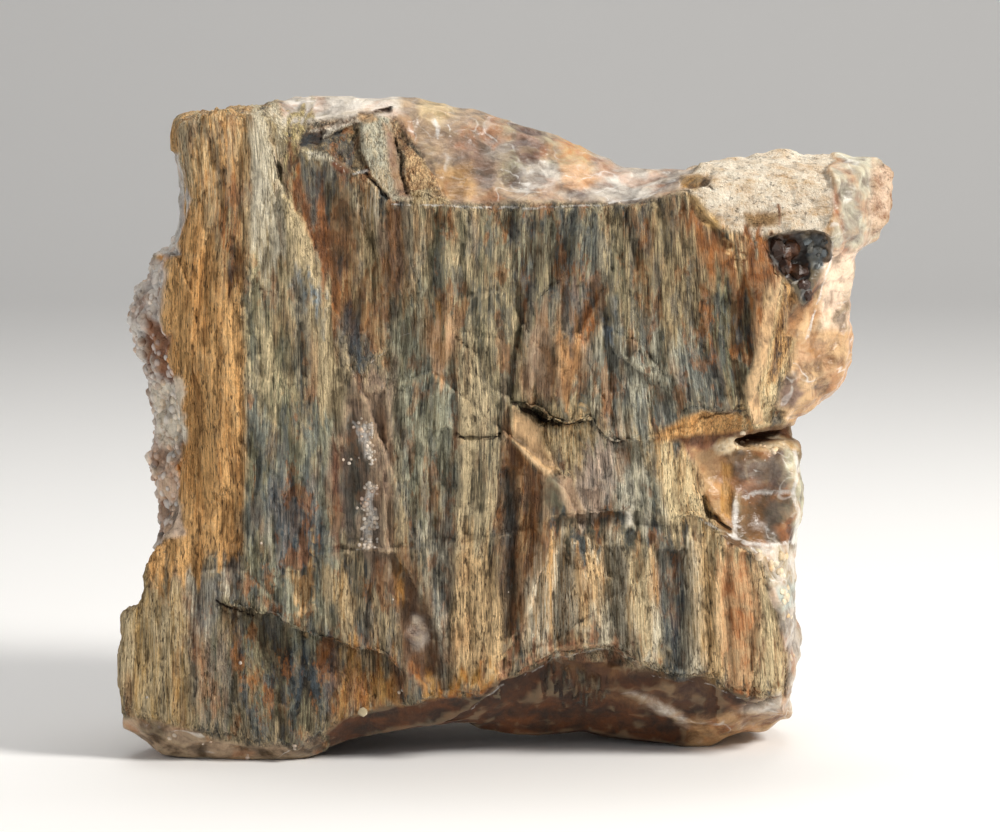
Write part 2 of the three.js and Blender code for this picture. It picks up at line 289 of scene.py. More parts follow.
# %% Substances
# name: grain, gloss, pits, graininess, edge of its patches
SUBSTANCES = {
    "wood": (1.0, 0.0, 1.0, 0.0, "ragged"),
    "streaked wood": (1.0, 0.0, 0.3, 0.0, "ragged"),
    "soft wood": (0.85, 0.05, 0.5, 0.0, "ragged"),
    "jasper": (0.55, 0.3, 0.3, 0.0, "ragged"),
    "wood facet": (0.9, 0.05, 0.7, 0.0, "crisp"),
    "fresh chip": (0.22, 0.2, 0.15, 0.0, "crisp"),
    "agate": (0.0, 1.0, 0.0, 0.0, "cloudy"),
    "agate facet": (0.0, 0.9, 0.0, 0.0, "crisp"),
    "dark glass": (0.0, 0.15, 0.0, 0.0, "cloudy"),
    "crust": (0.0, 0.6, 0.0, 0.4, "cloudy"),
    "rind": (0.0, 0.0, 0.3, 1.0, "cloudy"),
}
print(len(SUBSTANCES), "substances")

# %% [markdown]
# Later patches lie over earlier ones, as washes of paint would. So each part of the face begins with a
# large patch, and the small ones that give it its streaks and flecks come after it.

# %% Wood patches
# name: outline, substance, light stain, dark stain, share of dark, softness in pixels
WOOD_PATCHES = {
    "whole face": ([(60, 60), (940, 60), (940, 800), (60, 800)], "wood", "sand", "dark moss", 0.52, 10),
    "grey column": ([(240, 95), (285, 95), (283, 160), (290, 260), (300, 420), (330, 560), (243, 575),
        (243, 260)], "streaked wood", "cream", "sage", 0.5, 8),
    "pale top of grey column": ([(241, 95), (284, 95), (282, 150), (285, 260), (250, 262), (241, 200)],
        "streaked wood", "bone", "dry straw", 0.36, 8),
    "yellow cream streak": ([(281, 185), (290, 195), (304, 225), (318, 290), (300, 300), (292, 270),
        (284, 235)], "soft wood", "straw", "buff", 0.22, 6),
    "lower cream streak": ([(300, 290), (325, 290), (346, 360), (345, 420), (330, 470), (316, 460),
        (308, 380)], "streaked wood", "straw", "dun", 0.38, 8),
    "blue corner": ([(292, 282), (320, 300), (322, 318), (300, 312)],
        "soft wood", "blue slate", "olive", 0.4, 8),
    "green grey middle": ([(243, 420), (340, 420), (345, 540), (330, 640), (250, 600), (243, 520)],
        "streaked wood", "pale lichen", "olive", 0.55, 10),
    "slate middle": ([(268, 480), (318, 478), (325, 540), (316, 562), (280, 560), (262, 520)],
        "streaked wood", "smoke", "dark slate", 0.55, 10),
    "left column": ([(160, 90), (243, 90), (243, 240), (242, 562), (205, 560), (175, 590), (130, 620),
        (150, 540)], "wood", "honey", "golden tan", 0.34, 5),
    "left column top": ([(165, 95), (243, 95), (243, 250), (222, 262), (200, 200), (175, 210)],
        "wood", "cream", "apricot", 0.5, 12),
    "rusty right side of left column": ([(214, 200), (241, 190), (242, 300), (230, 300), (220, 262)],
        "wood", "hay", "copper", 0.55, 10),
    "dark facet by the seam": ([(300, 150), (345, 160), (372, 180), (360, 215), (330, 215), (306, 205)],
        "soft wood", "lichen", "bark", 0.6, 8),
    "rusty seam": ([(283, 155), (300, 160), (312, 205), (345, 220), (350, 300), (334, 312), (318, 260),
        (296, 205)], "jasper", "rust", "chestnut", 0.45, 6),
    "brown recess": ([(330, 215), (362, 190), (385, 205), (380, 320), (350, 345), (338, 320), (332, 260)],
        "jasper", "coffee", "dark bark", 0.55, 12),
    "orange in the recess": ([(338, 272), (378, 270), (376, 298), (340, 312)],
        "soft wood", "hay", "rust", 0.4, 8),
    "grey of the recess": ([(343, 318), (372, 316), (370, 352), (352, 356)],
        "soft wood", "dark slate", "night slate", 0.5, 8),
    "streaks below the edge": ([(356, 206), (420, 206), (418, 340), (366, 330)],
        "streaked wood", "straw", "dun", 0.5, 8),
    "brown band": ([(384, 206), (402, 206), (400, 320), (388, 330)],
        "soft wood", "salmon", "camel", 0.5, 8),
    "orange fleck": ([(414, 228), (424, 226), (436, 262), (428, 284), (414, 268)],
        "soft wood", "orange", "old rust", 0.3, 5),
    "orange streak": ([(438, 232), (452, 230), (458, 300), (446, 312)],
        "soft wood", "golden tan", "coffee", 0.35, 8),
    "centre": ([(415, 206), (640, 206), (650, 300), (640, 420), (520, 440), (455, 420), (420, 320)],
        "streaked wood", "straw", "olive", 0.52, 12),
    "brown top of centre": ([(500, 208), (600, 208), (598, 280), (560, 290), (500, 270)],
        "streaked wood", "lichen", "dark bark", 0.55, 12),
    "slate patch": ([(556, 285), (600, 280), (606, 320), (590, 345), (560, 335)],
        "soft wood", "smoke", "lead", 0.5, 10),
    "pinkish patch": ([(520, 325), (556, 318), (560, 400), (530, 404), (516, 380)],
        "jasper", "fawn", "camel", 0.45, 10),
    "orange patch": ([(596, 300), (602, 330), (585, 344), (612, 366), (588, 400), (552, 398), (554, 342),
        (580, 330)], "jasper", "ripe peach", "deep rust", 0.42, 8),
    "red fleck": ([(588, 312), (596, 312), (590, 346), (582, 340)],
        "jasper", "orange rust", "old rust", 0.2, 4),
    "brown spot": ([(622, 340), (634, 338), (638, 352), (630, 360), (620, 352)],
        "fresh chip", "coffee", "dark bark", 0.4, 4),
    "slate column": ([(604, 312), (615, 316), (618, 386), (607, 392)],
        "soft wood", "pale slate", "night slate", 0.45, 5),
    "olive patches left of centre": ([(398, 300), (452, 320), (456, 480), (440, 560), (400, 500),
        (392, 380)], "streaked wood", "pale lichen", "olive", 0.5, 10),
    "rusty patches left of centre": ([(424, 322), (450, 318), (458, 350), (450, 378), (428, 366)],
        "jasper", "peach", "ochre", 0.4, 8),
    "right streaks": ([(610, 206), (660, 200), (705, 230), (745, 300), (745, 350), (690, 360), (640, 330)],
        "streaked wood", "dry straw", "dark bark", 0.5, 12),
    "slate under the streaks": ([(590, 348), (640, 330), (748, 345), (740, 410), (690, 420), (640, 436),
        (596, 430)], "streaked wood", "ash", "moss", 0.52, 12),
    "rusty upper right": ([(664, 202), (700, 204), (742, 250), (772, 262), (770, 300), (756, 344),
        (738, 300), (700, 250)], "jasper", "old rust", "dark rust", 0.35, 9),
    "dark rusty streaks": ([(700, 290), (752, 300), (754, 380), (744, 410), (716, 400), (702, 350)],
        "streaked wood", "sage", "bark", 0.55, 10),
    "yellow column, upper": ([(457, 335), (498, 340), (500, 542), (457, 545)],
        "wood", "straw", "moss", 0.42, 8),
    "yellow column, lower": ([(452, 545), (498, 545), (506, 640), (498, 700), (458, 690), (446, 600)],
        "wood", "butter", "soot", 0.26, 6),
    "grey left of it": ([(420, 520), (452, 530), (450, 640), (444, 680), (430, 640), (424, 580)],
        "streaked wood", "bone", "lead", 0.5, 7),
    "rust band": ([(503, 425), (516, 440), (548, 470), (546, 560), (530, 615), (508, 650), (500, 560)],
        "soft wood", "camel", "deep rust", 0.45, 8),
    "cream flecks of the rust band": ([(520, 470), (527, 478), (527, 560), (521, 590), (519, 540)],
        "soft wood", "butter", "copper", 0.55, 3),
    "green grey in the rust band": ([(500, 480), (514, 470), (518, 600), (504, 640)],
        "streaked wood", "lead", "drab", 0.5, 8),
    "peach chip face": ([(512, 404), (530, 418), (541, 428), (548, 446), (562, 474), (584, 518), (566, 512),
        (548, 478), (524, 456), (512, 440)], "fresh chip", "pale tan", "dark bark", 0.2, 4),
    "rusty lower end of the chip face": ([(546, 476), (560, 472), (586, 520), (560, 524), (540, 500)],
        "fresh chip", "moss", "cocoa", 0.4, 8),
    "tan chip": ([(540, 428), (590, 422), (602, 440), (590, 470), (562, 470), (545, 450)],
        "wood", "cream", "apricot", 0.35, 7),
    "grey white streaks": ([(590, 440), (660, 440), (668, 520), (600, 522), (576, 500)],
        "streaked wood", "bone", "lichen", 0.48, 9),
    "blue grey of the chip": ([(578, 452), (612, 448), (616, 520), (590, 522), (574, 490)],
        "soft wood", "shell", "smoke", 0.45, 7),
    "pink facets of the chip": ([(558, 473), (572, 478), (588, 520), (570, 516), (560, 498)],
        "fresh chip", "fawn", "chestnut", 0.25, 4),
    "white sparkle of the chip": ([(622, 514), (634, 510), (638, 524), (626, 529)],
        "crust", "chalk", "ash", 0.35, 4),
    # The dark step is partly painted shade below the ledge of the same name.
    "dark step": ([(545, 524), (625, 519), (690, 532), (700, 560), (620, 544), (550, 545)],
        "soft wood", "moss", "dark moss", 0.6, 8),
    "lower columns": ([(545, 545), (600, 545), (606, 612), (560, 645), (530, 650), (525, 600)],
        "wood", "bone", "honey", 0.32, 8),
    "bright column": ([(576, 556), (602, 552), (604, 604), (582, 622), (574, 590)],
        "wood", "butter", "old rust", 0.24, 6),
    "lower middle": ([(606, 545), (700, 550), (708, 680), (640, 672), (606, 640)],
        "wood", "bone", "dun", 0.42, 9),
    "yellow stripe one": ([(626, 545), (652, 545), (654, 640), (640, 670), (630, 620)],
        "wood", "straw", "golden tan", 0.3, 6),
    "slate stripe": ([(656, 552), (682, 552), (690, 670), (664, 672)],
        "streaked wood", "ash", "dark slate", 0.5, 6),
    "yellow stripe two": ([(692, 545), (722, 548), (724, 690), (704, 684), (696, 620)],
        "wood", "butter", "tawny", 0.36, 7),
    "pink tan plane": ([(716, 540), (752, 552), (760, 610), (756, 700), (736, 694), (716, 640)],
        "jasper", "pale tan", "fire rust", 0.3, 6),
    "fibrous tan edge": ([(752, 552), (770, 585), (786, 640), (786, 704), (748, 702), (762, 640)],
        "wood", "cream", "rust", 0.34, 6),
    "cream slope": ([(640, 436), (662, 432), (690, 446), (702, 470), (708, 500), (722, 522), (746, 546),
        (728, 552), (704, 540), (680, 524), (662, 486)], "wood", "cream", "honey", 0.24, 10),
    "tan ledge over the notch": ([(656, 440), (664, 428), (680, 418), (700, 411), (740, 414), (764, 428),
        (740, 438), (720, 442), (690, 440)], "wood facet", "honey", "golden tan", 0.35, 6),
    "tan scarp": ([(776, 275), (822, 262), (818, 300), (800, 336), (776, 398), (764, 428), (738, 414),
        (757, 368)], "wood", "cream", "honey", 0.24, 6),
    "cream edge of the scarp": ([(771, 276), (783, 274), (778, 303), (767, 365), (757, 386), (765, 424),
        (753, 424), (743, 388), (753, 362), (766, 303)], "fresh chip", "pale tan", "pitch", 0.25, 4),
    "brown streaks of the scarp": ([(784, 284), (797, 282), (794, 334), (776, 384), (768, 380), (776, 330)],
        "wood facet", "honey", "burnt rust", 0.5, 4),
    "granular tan of the scarp": ([(794, 304), (822, 296), (824, 332), (800, 342), (788, 340)],
        "crust", "camel", "pitch", 0.4, 5),
    "rust patch": ([(372, 552), (400, 550), (440, 640), (438, 690), (404, 680), (394, 600), (370, 590)],
        "jasper", "umber", "chestnut", 0.45, 9),
    "pale fleck of the rust patch": ([(410, 612), (424, 618), (428, 640), (414, 652), (404, 634)],
        "crust", "smoke", "burnt rust", 0.35, 6),
    "orange edge of the rust patch": ([(392, 556), (404, 562), (402, 592), (392, 584)],
        "jasper", "ochre", "taupe", 0.3, 6),
    "rusty vein": ([(380, 350), (398, 380), (392, 470), (388, 555), (336, 550), (330, 470), (346, 400),
        (366, 366)], "jasper", "fawn", "dark smoke", 0.42, 8),
    "rust left of the vein": ([(332, 440), (348, 440), (352, 535), (340, 545), (330, 500)],
        "soft wood", "cinnamon", "peat", 0.4, 6),
    "dark eye of the vein": ([(348, 420), (362, 430), (372, 460), (368, 520), (352, 545), (346, 500)],
        "jasper", "lead", "dark moss", 0.5, 7),
    "notch shaped stain": ([(286, 572), (316, 566), (312, 600), (304, 612), (296, 600)],
        "soft wood", "cream", "hot orange", 0.3, 4),
    "yellow spot": ([(324, 560), (348, 590), (356, 625), (338, 630), (326, 600)],
        "wood", "sand", "gold brown", 0.3, 5),
    "lower left": ([(110, 585), (210, 575), (235, 620), (330, 650), (330, 730), (200, 730), (110, 710)],
        "wood", "fawn", "olive", 0.48, 12),
    "lower left side": ([(110, 600), (165, 585), (190, 600), (186, 730), (110, 712)],
        "wood", "straw", "old gold", 0.42, 12),
    "slate of the lower left": ([(185, 575), (240, 572), (245, 600), (215, 612), (200, 660), (186, 640)],
        "streaked wood", "bone", "dusk", 0.5, 9),
    "shaded recess": ([(215, 606), (280, 630), (335, 650), (334, 720), (290, 740), (240, 720), (225, 660)],
        "streaked wood", "sage", "drab", 0.58, 10),
    # Painted shade: soot and black darken the recess under the ledge.
    "painted shade deep in the recess": ([(270, 636), (335, 648), (335, 690), (300, 690), (276, 664)],
        "soft wood", "soot", "black", 0.6, 12),
    "rust right of the recess": ([(334, 648), (396, 664), (410, 700), (360, 716), (334, 722)],
        "wood", "gold brown", "copper", 0.45, 8),
    "orange under the edge": ([(410, 684), (470, 680), (508, 684), (470, 702), (420, 704)],
        "jasper", "tawny", "fire rust", 0.35, 6),
    "rusty rim": ([(498, 664), (560, 648), (605, 642), (640, 662), (610, 664), (560, 668), (500, 682)],
        "jasper", "salmon", "cocoa", 0.4, 5),
    "pale fibre at the top": ([(360, 168), (386, 198), (380, 210), (362, 204)],
        "wood", "bone", "honey", 0.3, 5),
}
print(len(WOOD_PATCHES), "patches of wood")

# %% [markdown]
# The second table goes round the edge of the face: the hollow on top with its facets, the rind with the
# pocket, the right side with the notch and its block, the underside, and the crust on the left.

# %% Agate patches
AGATE_PATCHES = {
    "top ridge": ([(270, 60), (620, 60), (690, 160), (690, 190), (630, 203), (452, 204), (430, 170),
        (395, 118), (282, 118)], "agate facet", "fawn", "dark smoke", 0.45, 6),
    "pink ridge": ([(278, 60), (400, 60), (400, 112), (340, 122), (282, 124)],
        "agate", "milk", "pearl", 0.35, 8),
    "orange cloud": ([(450, 130), (500, 135), (500, 190), (462, 185)],
        "agate", "taupe", "dark smoke", 0.4, 24),
    "grey cloud": ([(505, 110), (545, 118), (560, 165), (540, 192), (505, 180)],
        "agate", "lichen", "clove", 0.5, 22),
    "amber tip": ([(556, 138), (582, 144), (602, 160), (590, 178), (562, 166)],
        "agate", "dry straw", "copper", 0.35, 12),
    "milky end of the hollow": ([(592, 150), (692, 160), (690, 186), (620, 200), (560, 196), (600, 178)],
        "agate", "pearl", "clove", 0.4, 14),
    "cream cloud": ([(418, 98), (452, 96), (462, 110), (440, 122), (420, 116)],
        "agate", "sand", "dun", 0.3, 8),
    "maroon cloud": ([(514, 118), (540, 124), (548, 150), (536, 166), (518, 160), (510, 138)],
        "agate", "taupe", "clove", 0.5, 8),
    "speckled cloud": ([(480, 132), (506, 136), (508, 162), (488, 164)],
        "agate", "smoke", "dark smoke", 0.5, 8),
    "milky cloud": ([(518, 164), (546, 160), (562, 176), (556, 192), (524, 190)],
        "agate", "milk", "dusk", 0.3, 8),
    "yellow lens": ([(560, 168), (586, 164), (600, 176), (588, 188), (566, 186)],
        "agate", "peach", "camel", 0.35, 6),
    "white bend": ([(596, 172), (632, 170), (660, 178), (650, 192), (604, 200)],
        "agate", "milk", "dusk", 0.3, 8),
    "brown foot of the hollow": ([(436, 168), (474, 164), (484, 186), (470, 202), (440, 200)],
        "agate", "tan", "wood brown", 0.45, 8),
    "facet": ([(358, 124), (372, 116), (388, 118), (397, 140), (401, 180), (412, 200), (392, 200),
        (374, 176), (361, 150)], "wood facet", "ash", "sand", 0.28, 3),
    "pinkish side of the facet": ([(384, 124), (396, 138), (402, 180), (412, 200), (398, 196), (390, 170)],
        "fresh chip", "taupe", "wood brown", 0.35, 5),
    "fibrous facet": ([(406, 143), (416, 154), (432, 172), (438, 184), (434, 196), (414, 196), (406, 184),
        (405, 160)], "wood facet", "butter", "deep rust", 0.4, 2),
    "moss coloured foot of the facet": ([(410, 192), (436, 188), (452, 203), (416, 206)],
        "wood facet", "straw", "toffee", 0.45, 4),
    # The dark facet leans away from the light, and its pitch stain is partly painted shade.
    "dark facet": ([(322, 134), (345, 126), (358, 126), (361, 150), (370, 168), (352, 168), (334, 156),
        (318, 148)], "wood facet", "hay", "pitch", 0.55, 3),
    "rusty lip under the dark facet": ([(334, 158), (350, 168), (352, 174), (338, 176), (332, 166)],
        "fresh chip", "red brown", "peat", 0.35, 4),
    "pale ledge under the dark facet": ([(302, 148), (320, 150), (336, 158), (330, 162), (306, 158)],
        "wood facet", "bone", "deep moss", 0.35, 3),
    "top of the seam": ([(282, 118), (330, 114), (304, 134), (292, 150), (284, 148)],
        "wood", "buff", "drab", 0.35, 6),
    "blade": ([(301, 134), (318, 127), (340, 121), (352, 117), (392, 108), (372, 118), (346, 126),
        (324, 138)], "wood facet", "chalk", "umber", 0.3, 3),
    "rusty end of the blade": ([(358, 113), (374, 112), (378, 120), (366, 124), (356, 118)],
        "fresh chip", "pale tan", "soot", 0.3, 4),
    "shade under the blade": ([(300, 134), (322, 131), (323, 143), (312, 147), (298, 146)],
        "fresh chip", "black", "black", 0.6, 3),
    "shade of the ridge hole": ([(372, 112), (392, 107), (391, 113), (380, 113)],
        "fresh chip", "soot", "black", 0.6, 2),
    "rind": ([(684, 172), (700, 160), (760, 140), (842, 140), (842, 236), (760, 236), (720, 222),
        (686, 192)], "rind", "chalk", "tan", 0.32, 6),
    "brown shade of the rind": ([(744, 211), (782, 212), (780, 228), (750, 227)],
        "rind", "tan", "dark bark", 0.5, 6),
    "orange end of the rind": ([(690, 196), (704, 198), (730, 224), (716, 226), (700, 216)],
        "rind", "butter", "old gold", 0.45, 8),
    "cavity by the rind": ([(680, 176), (700, 173), (710, 180), (696, 190), (682, 188)],
        "fresh chip", "tawny", "pitch", 0.5, 4),
    "pocket above": ([(714, 236), (780, 232), (780, 276), (756, 262), (730, 252)],
        "jasper", "rust", "burnt rust", 0.4, 5),
    "cream fleck by the pocket": ([(722, 236), (734, 234), (750, 250), (738, 254)],
        "soft wood", "cream", "hot orange", 0.3, 4),
    # The pocket's agate is dark, and its soot and black stains also carry painted shade under the
    # overhanging rind.
    "pocket": ([(766, 236), (802, 231), (832, 234), (828, 273), (815, 298), (802, 306), (788, 282),
        (770, 264)], "agate facet", "soot", "soot", 0.5, 4),
    "purple left side of the pocket": ([(768, 240), (786, 238), (792, 274), (780, 272), (770, 260)],
        "agate facet", "black", "black", 0.5, 6),
    "foot of the pocket": ([(792, 280), (818, 278), (812, 298), (802, 306)],
        "agate facet", "black", "black", 0.45, 5),
    "grey crystals of the pocket": ([(806, 236), (830, 236), (828, 270), (812, 268)],
        "agate facet", "slate", "dark slate", 0.35, 5),
    "right side": ([(832, 130), (960, 130), (960, 460), (790, 424), (776, 398), (800, 336), (826, 270)],
        "agate", "pale tan", "camel", 0.4, 6),
    "pale right edge": ([(828, 232), (870, 232), (900, 270), (870, 330), (822, 330), (820, 290)],
        "agate", "shell", "drab", 0.25, 10),
    "strip beside the rind": ([(832, 178), (850, 172), (864, 180), (860, 232), (848, 252), (834, 250)],
        "agate facet", "rosy brown", "soot", 0.35, 6),
    "orange top of the strip": ([(836, 156), (868, 158), (866, 178), (838, 180)],
        "agate", "pale tan", "camel", 0.4, 8),
    "knob": ([(834, 140), (910, 140), (910, 226), (862, 250), (834, 240)], "agate", "ash", "dusk", 0.38, 6),
    "tan of the knob": ([(872, 160), (910, 160), (900, 222), (868, 236)],
        "rind", "shell", "deep rust", 0.35, 8),
    "purple grey cloud": ([(780, 376), (802, 370), (806, 396), (792, 408), (776, 404)],
        "agate", "taupe", "peat", 0.4, 6),
    "peach cloud": ([(800, 344), (852, 340), (860, 384), (820, 408), (796, 380)],
        "agate", "peach", "camel", 0.35, 10),
    "red lumps": ([(802, 366), (826, 364), (830, 392), (812, 400), (800, 386)],
        "agate", "pale tan", "cocoa", 0.4, 6),
    "brown lump": ([(828, 342), (846, 342), (848, 360), (832, 364)],
        "agate", "pale tan", "dark rust", 0.4, 6),
    "notch shadow": ([(676, 436), (745, 430), (790, 424), (792, 444), (720, 452), (690, 452)],
        "fresh chip", "chestnut", "burnt rust", 0.5, 6),
    # Painted shade: the notch's shadow goes on below it in darker brown, over the agate's own brown.
    "painted shade and brown below the notch shadow": ([(684, 446), (712, 443), (736, 446), (730, 458), (704, 466),
        (690, 460)], "fresh chip", "rosy brown", "cinnamon", 0.5, 8),
    "notch block": ([(716, 444), (745, 438), (815, 436), (815, 548), (730, 546), (716, 520)],
        "agate", "umber", "drab", 0.4, 4),
    "upper left window of the block": ([(734, 462), (765, 458), (766, 490), (742, 496)],
        "agate facet", "dusk", "cocoa", 0.35, 4),
    "grey window of the block": ([(767, 450), (795, 448), (795, 489), (767, 490)],
        "agate facet", "dusk", "clove", 0.45, 5),
    "brown window of the block": ([(766, 496), (793, 496), (793, 543), (764, 543)],
        "agate facet", "dark smoke", "dark moss", 0.5, 5),
    "tan window of the block": ([(740, 498), (764, 494), (763, 542), (741, 541)],
        "agate facet", "coffee", "drab", 0.4, 5),
    "red corner of the block": ([(778, 524), (793, 518), (793, 543), (780, 543)],
        "agate facet", "deep rust", "burnt rust", 0.4, 6),
    "cream rim of the block": ([(784, 446), (796, 444), (806, 480), (804, 544), (793, 544), (793, 500),
        (786, 470)], "agate facet", "pale lichen", "dark smoke", 0.25, 5),
    "cream top of the block": ([(716, 446), (728, 436), (750, 440), (790, 438), (796, 450), (762, 452),
        (740, 452), (722, 456)], "crust", "bone", "gold brown", 0.4, 5),
    "tan side of the block": ([(690, 448), (716, 450), (732, 462), (730, 534), (716, 522), (704, 490)],
        "agate facet", "tan", "deep rust", 0.3, 6),
    "orange stripe beside the block": ([(721, 463), (731, 463), (731, 522), (721, 514)],
        "fresh chip", "gold brown", "ochre", 0.3, 4),
    "cream band under the block": ([(744, 546), (815, 544), (815, 606), (780, 604), (766, 578), (756, 558)],
        "agate", "milk", "dun", 0.3, 5),
    "grey window": ([(778, 584), (810, 580), (810, 612), (782, 608)], "agate", "silver", "lead", 0.3, 6),
    "right rim": ([(782, 606), (815, 606), (815, 705), (786, 702), (786, 660)],
        "agate", "pearl", "dusk", 0.4, 5),
    # Under the arch the agate is dark brown, and the pitch-dark stains below also carry painted shade, as
    # this side faces the floor.
    "underside": ([(330, 728), (345, 716), (400, 702), (470, 696), (510, 676), (560, 664), (605, 658),
        (640, 676), (706, 676), (745, 702), (800, 700), (800, 790), (330, 790)],
        "dark glass", "dark rust", "pitch", 0.5, 4),
    "mottled underside": ([(556, 666), (612, 660), (640, 676), (712, 680), (700, 704), (640, 706),
        (600, 690)], "dark glass", "coffee", "cocoa", 0.5, 10),
    "grey of the underside": ([(540, 672), (600, 666), (612, 690), (580, 694), (556, 684)],
        "jasper", "dark moss", "pitch", 0.55, 8),
    "rusty hollow of the underside": ([(612, 672), (676, 676), (674, 694), (640, 696), (616, 690)],
        "dark glass", "dark rust", "pitch", 0.5, 9),
    "purple eye of the underside": ([(660, 678), (716, 682), (706, 698), (672, 698)],
        "dark glass", "umber", "plum", 0.5, 8),
    "milky band of the underside": ([(628, 692), (648, 699), (670, 702), (694, 720), (731, 719), (755, 704),
        (789, 690), (800, 700), (795, 722), (722, 736), (690, 728), (660, 712)],
        "agate", "milk", "wood brown", 0.4, 7),
    "right of the underside": ([(690, 714), (800, 708), (800, 760), (690, 760)],
        "agate", "tan", "chestnut", 0.45, 10),
    "rim of the left foot": ([(118, 716), (200, 727), (240, 744), (300, 750), (322, 738), (322, 790),
        (110, 790)], "agate", "fawn", "dark bark", 0.5, 5),
    "left crust": ([(90, 262), (164, 262), (162, 320), (172, 385), (180, 440), (180, 510), (160, 548),
        (90, 548)], "crust", "snow", "taupe", 0.42, 4),
    "pale stretch of the crust": ([(150, 386), (184, 380), (184, 446), (160, 448)],
        "crust", "chalk", "dark smoke", 0.36, 5),
    "red brown of the crust": ([(148, 448), (182, 446), (182, 466), (150, 466)],
        "crust", "shell", "plum", 0.45, 5),
    "orange white of the crust": ([(150, 467), (180, 466), (180, 495), (152, 496)],
        "crust", "shell", "deep rust", 0.32, 5),
    "dark foot of the crust": ([(150, 497), (182, 496), (182, 540), (158, 546)],
        "crust", "shell", "pitch", 0.5, 5),
    "brown of the crust": ([(146, 316), (170, 330), (172, 384), (150, 372)],
        "crust", "rosy brown", "cinnamon", 0.5, 8),
    "thin crust above": ([(150, 150), (176, 152), (186, 200), (182, 250), (150, 258)],
        "crust", "snow", "dark smoke", 0.35, 4),
}
print(len(AGATE_PATCHES), "patches of agate and rind")

# %% [markdown]
# Grain lines aren't quite upright: they lean a little to the right on the right half and wander. That
# is one number for each point, the place across the grain. Everything that follows the grain reads
# this number instead of x.


# %% Across the grain
def across_grain(block_mm):
    """The place across the grain in mm: x with the lean and the slow wandering taken out."""
    x, z = block_mm[:, 0], block_mm[:, 2]
    lean = 0.09 * soft_step(140.0, 215.0, x)
    wander = 1.6 * layered(block_mm, (26.0, 60.0, 48.0), 5, layers=2)
    return x + lean * (z - 110.0) + wander


def ragged(block_mm, column, row):
    """Pixel positions shifted so that patch edges run out along the grain in uneven fingers."""
    along = np.stack([across_grain(block_mm), 0.3 * block_mm[:, 1], block_mm[:, 2]], axis=1)
    fingers = layered(along, (1.6, 3.0, 40.0), 21, layers=2, rough=0.7)
    sway = layered(along, (5.0, 9.0, 40.0), 31, rough=0.6)
    nibbles = layered(block_mm, (2.6, 5.0, 6.0), 35, layers=2)
    return column + 5.0 * sway + 2.4 * nibbles, row + 30.0 * fingers


def cloudy(block_mm, column, row):
    """Pixel positions shifted evenly in all directions, for patch edges in agate."""
    return column + 6.0 * layered(block_mm, 11.0, 41), row + 6.0 * layered(block_mm, 11.0, 51)


def crisp(block_mm, column, row):
    """Pixel positions with hardly a shift, for the straight edges of broken faces."""
    return column + 1.3 * layered(block_mm, 5.0, 43), row + 1.3 * layered(block_mm, 5.0, 53)


right_edge = np.array([[250.0, 0.0, 20.0], [250.0, 0.0, 200.0]])
print("across the grain at the right edge, low and high:", across_grain(right_edge).round(1))

# %% [markdown]
# The painter.
#
# The painter goes through the patches for a set of points and gives each point its two colours, the
# share of the dark one and its substance. What the camera can't see gets its own stuff: the back is the
# same wood with agate in broad upright zones, from noise in space. The patches give way to it over a
# stretch of depth behind the face. Each point's answer is a row of eleven numbers.


# %% Painter
LIGHT = slice(0, 3)
DARK = slice(3, 6)
BOTH_STAINS = slice(0, 6)
MASKS = slice(6, 11)
MAKEUP = slice(7, 11)
ROW_LENGTH = 11
BACK_WOOD = ("hay", "dark moss")
BACK_AGATE = ("fawn", "taupe")
BACK_BALANCE = 0.5
PATCHES_GIVE_WAY_MM = (46.0, 62.0)


def paint(block_mm):
    """For points of the block: light and dark colour, balance, grain, gloss, pits and rind."""
    column, row = photo_pixels(block_mm)
    along = np.stack([across_grain(block_mm), 0.3 * block_mm[:, 1], block_mm[:, 2]], axis=1)
    weave = layered(along, (1.0, 3.0, 14.0), 25, rough=0.7)[:, None]
    shifted = {
        "ragged": ragged(block_mm, column, row),
        "cloudy": cloudy(block_mm, column, row),
        "crisp": crisp(block_mm, column, row),
    }
    values = np.zeros((len(block_mm), ROW_LENGTH))
    for patch in [*WOOD_PATCHES.values(), *AGATE_PATCHES.values()]:
        outline, substance, light, dark, balance, soft = patch
        *makeup, edge = SUBSTANCES[substance]
        width = 2.0 * soft if edge == "ragged" else soft
        amount = inside_patch(*shifted[edge], outline, width)[:, None]
        if edge == "ragged":
            amount = np.clip(amount + 1.1 * weave * amount * (1.0 - amount), 0.0, 1.0)
        wanted = np.concatenate([colour(light), colour(dark), [balance], makeup])
        values += amount * (wanted - values)
    unseen = soft_step(*PATCHES_GIVE_WAY_MM, block_mm[:, 1] + 6.0 * layered(block_mm, 14.0, 61))
    zones = layered(block_mm, (34.0, 34.0, 70.0), 71)
    agate_zone = soft_step(-0.12, 0.12, zones)[:, None]
    back_wood, back_agate = (
        np.concatenate([colour(light), colour(dark), [BACK_BALANCE], SUBSTANCES[substance][:4]])
        for (light, dark), substance in ((BACK_WOOD, "wood"), (BACK_AGATE, "agate facet"))
    )
    hidden = back_wood + agate_zone * (back_agate - back_wood)
    return values + unseen[:, None] * (hidden - values)


print("painter ready, a row has", ROW_LENGTH, "numbers")

# %% [markdown]
# The stone's mesh.
#
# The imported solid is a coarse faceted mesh. A copy of it is merged, turned into an even skin of small
# squares by a voxel remesh, and then carved by moving its points. A voxel a little under a millimetre
# keeps the ledges crisp and is as fine as the grain needs, because the finest slits are the material's
# work. Rounds of smoothing take off the facets of the solid and the squares of the voxels, many more of
# them at the top left, where the real column is worn round.

# %% Skin
VOXEL_MM = 0.85
WORN_ROUNDS = 9
ROUNDED_TOP_ROUNDS = 90
ROUNDED_TOP_LEFT_OF_MM = 62.0
ROUNDED_TOP_ABOVE_MM = 196.0

